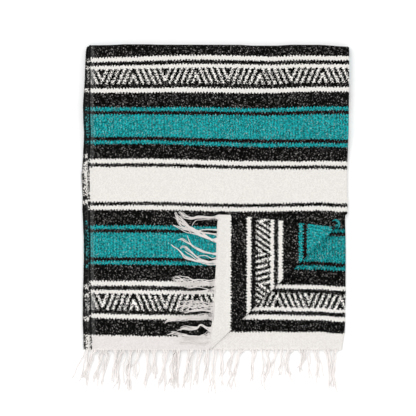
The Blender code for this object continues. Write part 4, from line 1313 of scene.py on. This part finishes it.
def rope_paths(ropes, root, rest, pile, seed):
    """Paths for the warp ends of each rope: each from its own place on the cut edge, drawn into the rope."""
    chance = random.Random(seed)
    edge = (DIAGONAL_START - CORNER_TIP).normalized()
    out = Vector((edge.y, -edge.x))
    paths = []
    for rope in ropes:
        line = rope_line(rope["run"])
        for number in range(rope["yarns"]):
            share = (number + 0.5) / rope["yarns"]
            start = CORNER_TIP + edge * (rope["first"] + (rope["last"] - rope["first"]) * share) / 1000
            held = pressed_height(start, root)
            start.x += cut_end_draw(start.y)
            lane = 2 * share - 1 + chance.uniform(-JITTER, JITTER)
            phase, level, splay = chance.uniform(0, 2 * math.pi), chance.random(), chance.gauss(0, ROPE_SPLAY)
            last = round((len(line) - 1) * chance.uniform(*ROPE_REACHES))
            path = []
            for step in range(-2, last + 1):
                i = max(0, step)
                ahead = (line[min(i + 1, len(line) - 1)] - line[max(i - 1, 0)]).xy.normalized()
                beside = lane + ROPE_WANDER * math.sin(phase + i * ROPE_TURN) + splay * (i / last) ** 6
                beside = min(ROPE_LANES, max(-ROPE_LANES, beside))
                room = max(ROPE_LEAST, line[i].z / 2 - ROPE_MARGIN)
                in_rope = line[i].xy + Vector((-ahead.y, ahead.x)) * beside * room
                away = i * YARN_STEP + min(0, step) * HELD_STEP
                drawn = smooth(i * YARN_STEP / ROPE_RUN)
                place = (start + out * (away + 2 * SLACK)) * (1 - drawn) + in_rope * drawn
                settled = smooth(i * YARN_STEP / ROPE_DROP)
                height = held * (1 - settled) + (rest + pile * level) * settled
                thickness = 1.0 - YARN_TAPER * i / last if step < last else YARN_TIP
                path.append(yarn_point(place, height, thickness, len(paths), i / last))
            paths.append(path)
    return paths


def finish_fringe(name, painted_light):
    """Off-white spun yarn, a little greyer and warmer in places, with its fibres' fine relief, brightened all
    over by a painted light.
    """
    material, tree, shader = start_finish(name, roughness=0.88, specular=0.25, sheen=0.15)
    which = add_node(tree, "ShaderNodeAttribute", attribute_name="across").outputs["Fac"]
    draw = add_node(tree, "ShaderNodeTexWhiteNoise", noise_dimensions="1D", W=which).outputs["Value"]
    fibre = mottle(tree, add_node(tree, "ShaderNodeTexCoord").outputs["Object"], 700.0, 3.0)
    colour = tint(Field(draw), *FRINGE_YARNS)
    put(shaded(colour, fibre.line(0.1 * painted_light, 0.95 * painted_light)), shader["Base Color"])
    add_relief(tree, shader, fibre, strength=0.5, distance=0.0003)
    return material


# The near end's fringe yarn is 1.16 times as bright as the corner's: painted light that lifts the shade between
# and under its strands.
fringe_finish_with_painted_light = finish_fringe("fringe yarn", 1.16)
yarn_sizes = dict(Twist_Pitch=0.009, Lobe_Depth=0.28, Sides=6)
strand_sizes = yarn_sizes | dict(Yarn_Radius=STRAND_RADIUS, Waver=0.015, Waver_Scale=50.0)
fringe_lower = spin_yarns(
    "fringe_lower_layer_yarns",
    fringe_paths(
        Vector((edge_at("low_selvage", BOTTOM) + 0.003, BOTTOM)),
        Vector((edge_at("lower_fold", BOTTOM) - 0.002, BOTTOM)),
        root=2.2 * PLY, rest=0.0012, pile=0.0016, locks=LOWER_LAYER_LOCKS, seed=11),
    yarn_tree, fringe_finish_with_painted_light, Seed=3.0, **strand_sizes)
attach(fringe_lower, "root")
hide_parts("fringe_lower_layer")
fringe_top = spin_yarns(
    "fringe_top_layer_yarns",
    fringe_paths(
        Vector((edge_at("top_selvage", BOTTOM) + 0.002, BOTTOM)),
        Vector((DIAGONAL_START.x - 0.004, BOTTOM)),
        root=3.9 * PLY, rest=0.0030, pile=0.0020, locks=TOP_LAYER_LOCKS, seed=23),
    yarn_tree, fringe_finish_with_painted_light, Seed=9.0, **strand_sizes)
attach(fringe_top, "root")
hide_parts("fringe_top_layer")
fringe_corner = spin_yarns(
    "fringe_turned_corner_yarns",
    rope_paths(ROPES, root=CREASE_HEIGHT + 1.5 * PLY, rest=4 * PLY + 0.0011, pile=0.0026, seed=37),
    yarn_tree, finish_fringe("corner fringe yarn", 1.0), Seed=5.0,
    **yarn_sizes, Yarn_Radius=YARN_RADIUS, Waver=0.006, Waver_Scale=85.0)
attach(fringe_corner, "root")
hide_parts("fringe_turned_corner")

# The floor, light and camera.
# A plain white sweep under soft, even studio light, seen from straight above.
FLOOR_HALF = 30.0
SKY_LIGHT = 0.91
KEY_LIGHT = 1.10
KEY_DIRECTION = Vector((0.45, -0.5, -1.5))
KEY_SOFTNESS = math.radians(60)
CAMERA_AT = (-0.0218, -0.02666, 4.5)
CAMERA_LENS = 160.3

bm = bmesh.new()
bmesh.ops.create_grid(bm, x_segments=1, y_segments=1, size=FLOOR_HALF)
mesh = bpy.data.meshes.new("floor")
bm.to_mesh(mesh)
bm.free()
floor = add_object("floor", mesh)
paper, _, shader = start_finish("floor paper", roughness=0.9, specular=0.1)
shader["Base Color"].default_value = (0.93, 0.93, 0.93, 1.0)
mesh.materials.append(paper)

world = bpy.data.worlds.new("studio")
bpy.context.scene.world = world
world.use_nodes = True
sky = world.node_tree.nodes["Background"].inputs
sky["Color"].default_value = (1.0, 1.0, 1.0, 1.0)
sky["Strength"].default_value = SKY_LIGHT
key_data = bpy.data.lights.new("key", "SUN")
key_data.angle = KEY_SOFTNESS
key_data.energy = KEY_LIGHT
key = add_object("key", key_data)
key.rotation_euler = KEY_DIRECTION.to_track_quat("-Z", "Y").to_euler()

camera_data = bpy.data.cameras.new("camera")
camera_data.sensor_width = 36.0
camera_data.lens = CAMERA_LENS
camera_data.clip_end = 2 * FLOOR_HALF
camera = add_object("camera", camera_data)
camera.location = CAMERA_AT
bpy.context.scene.camera = camera
bpy.context.scene.view_settings.view_transform = "Standard"
bpy.context.scene.view_settings.look = "None"
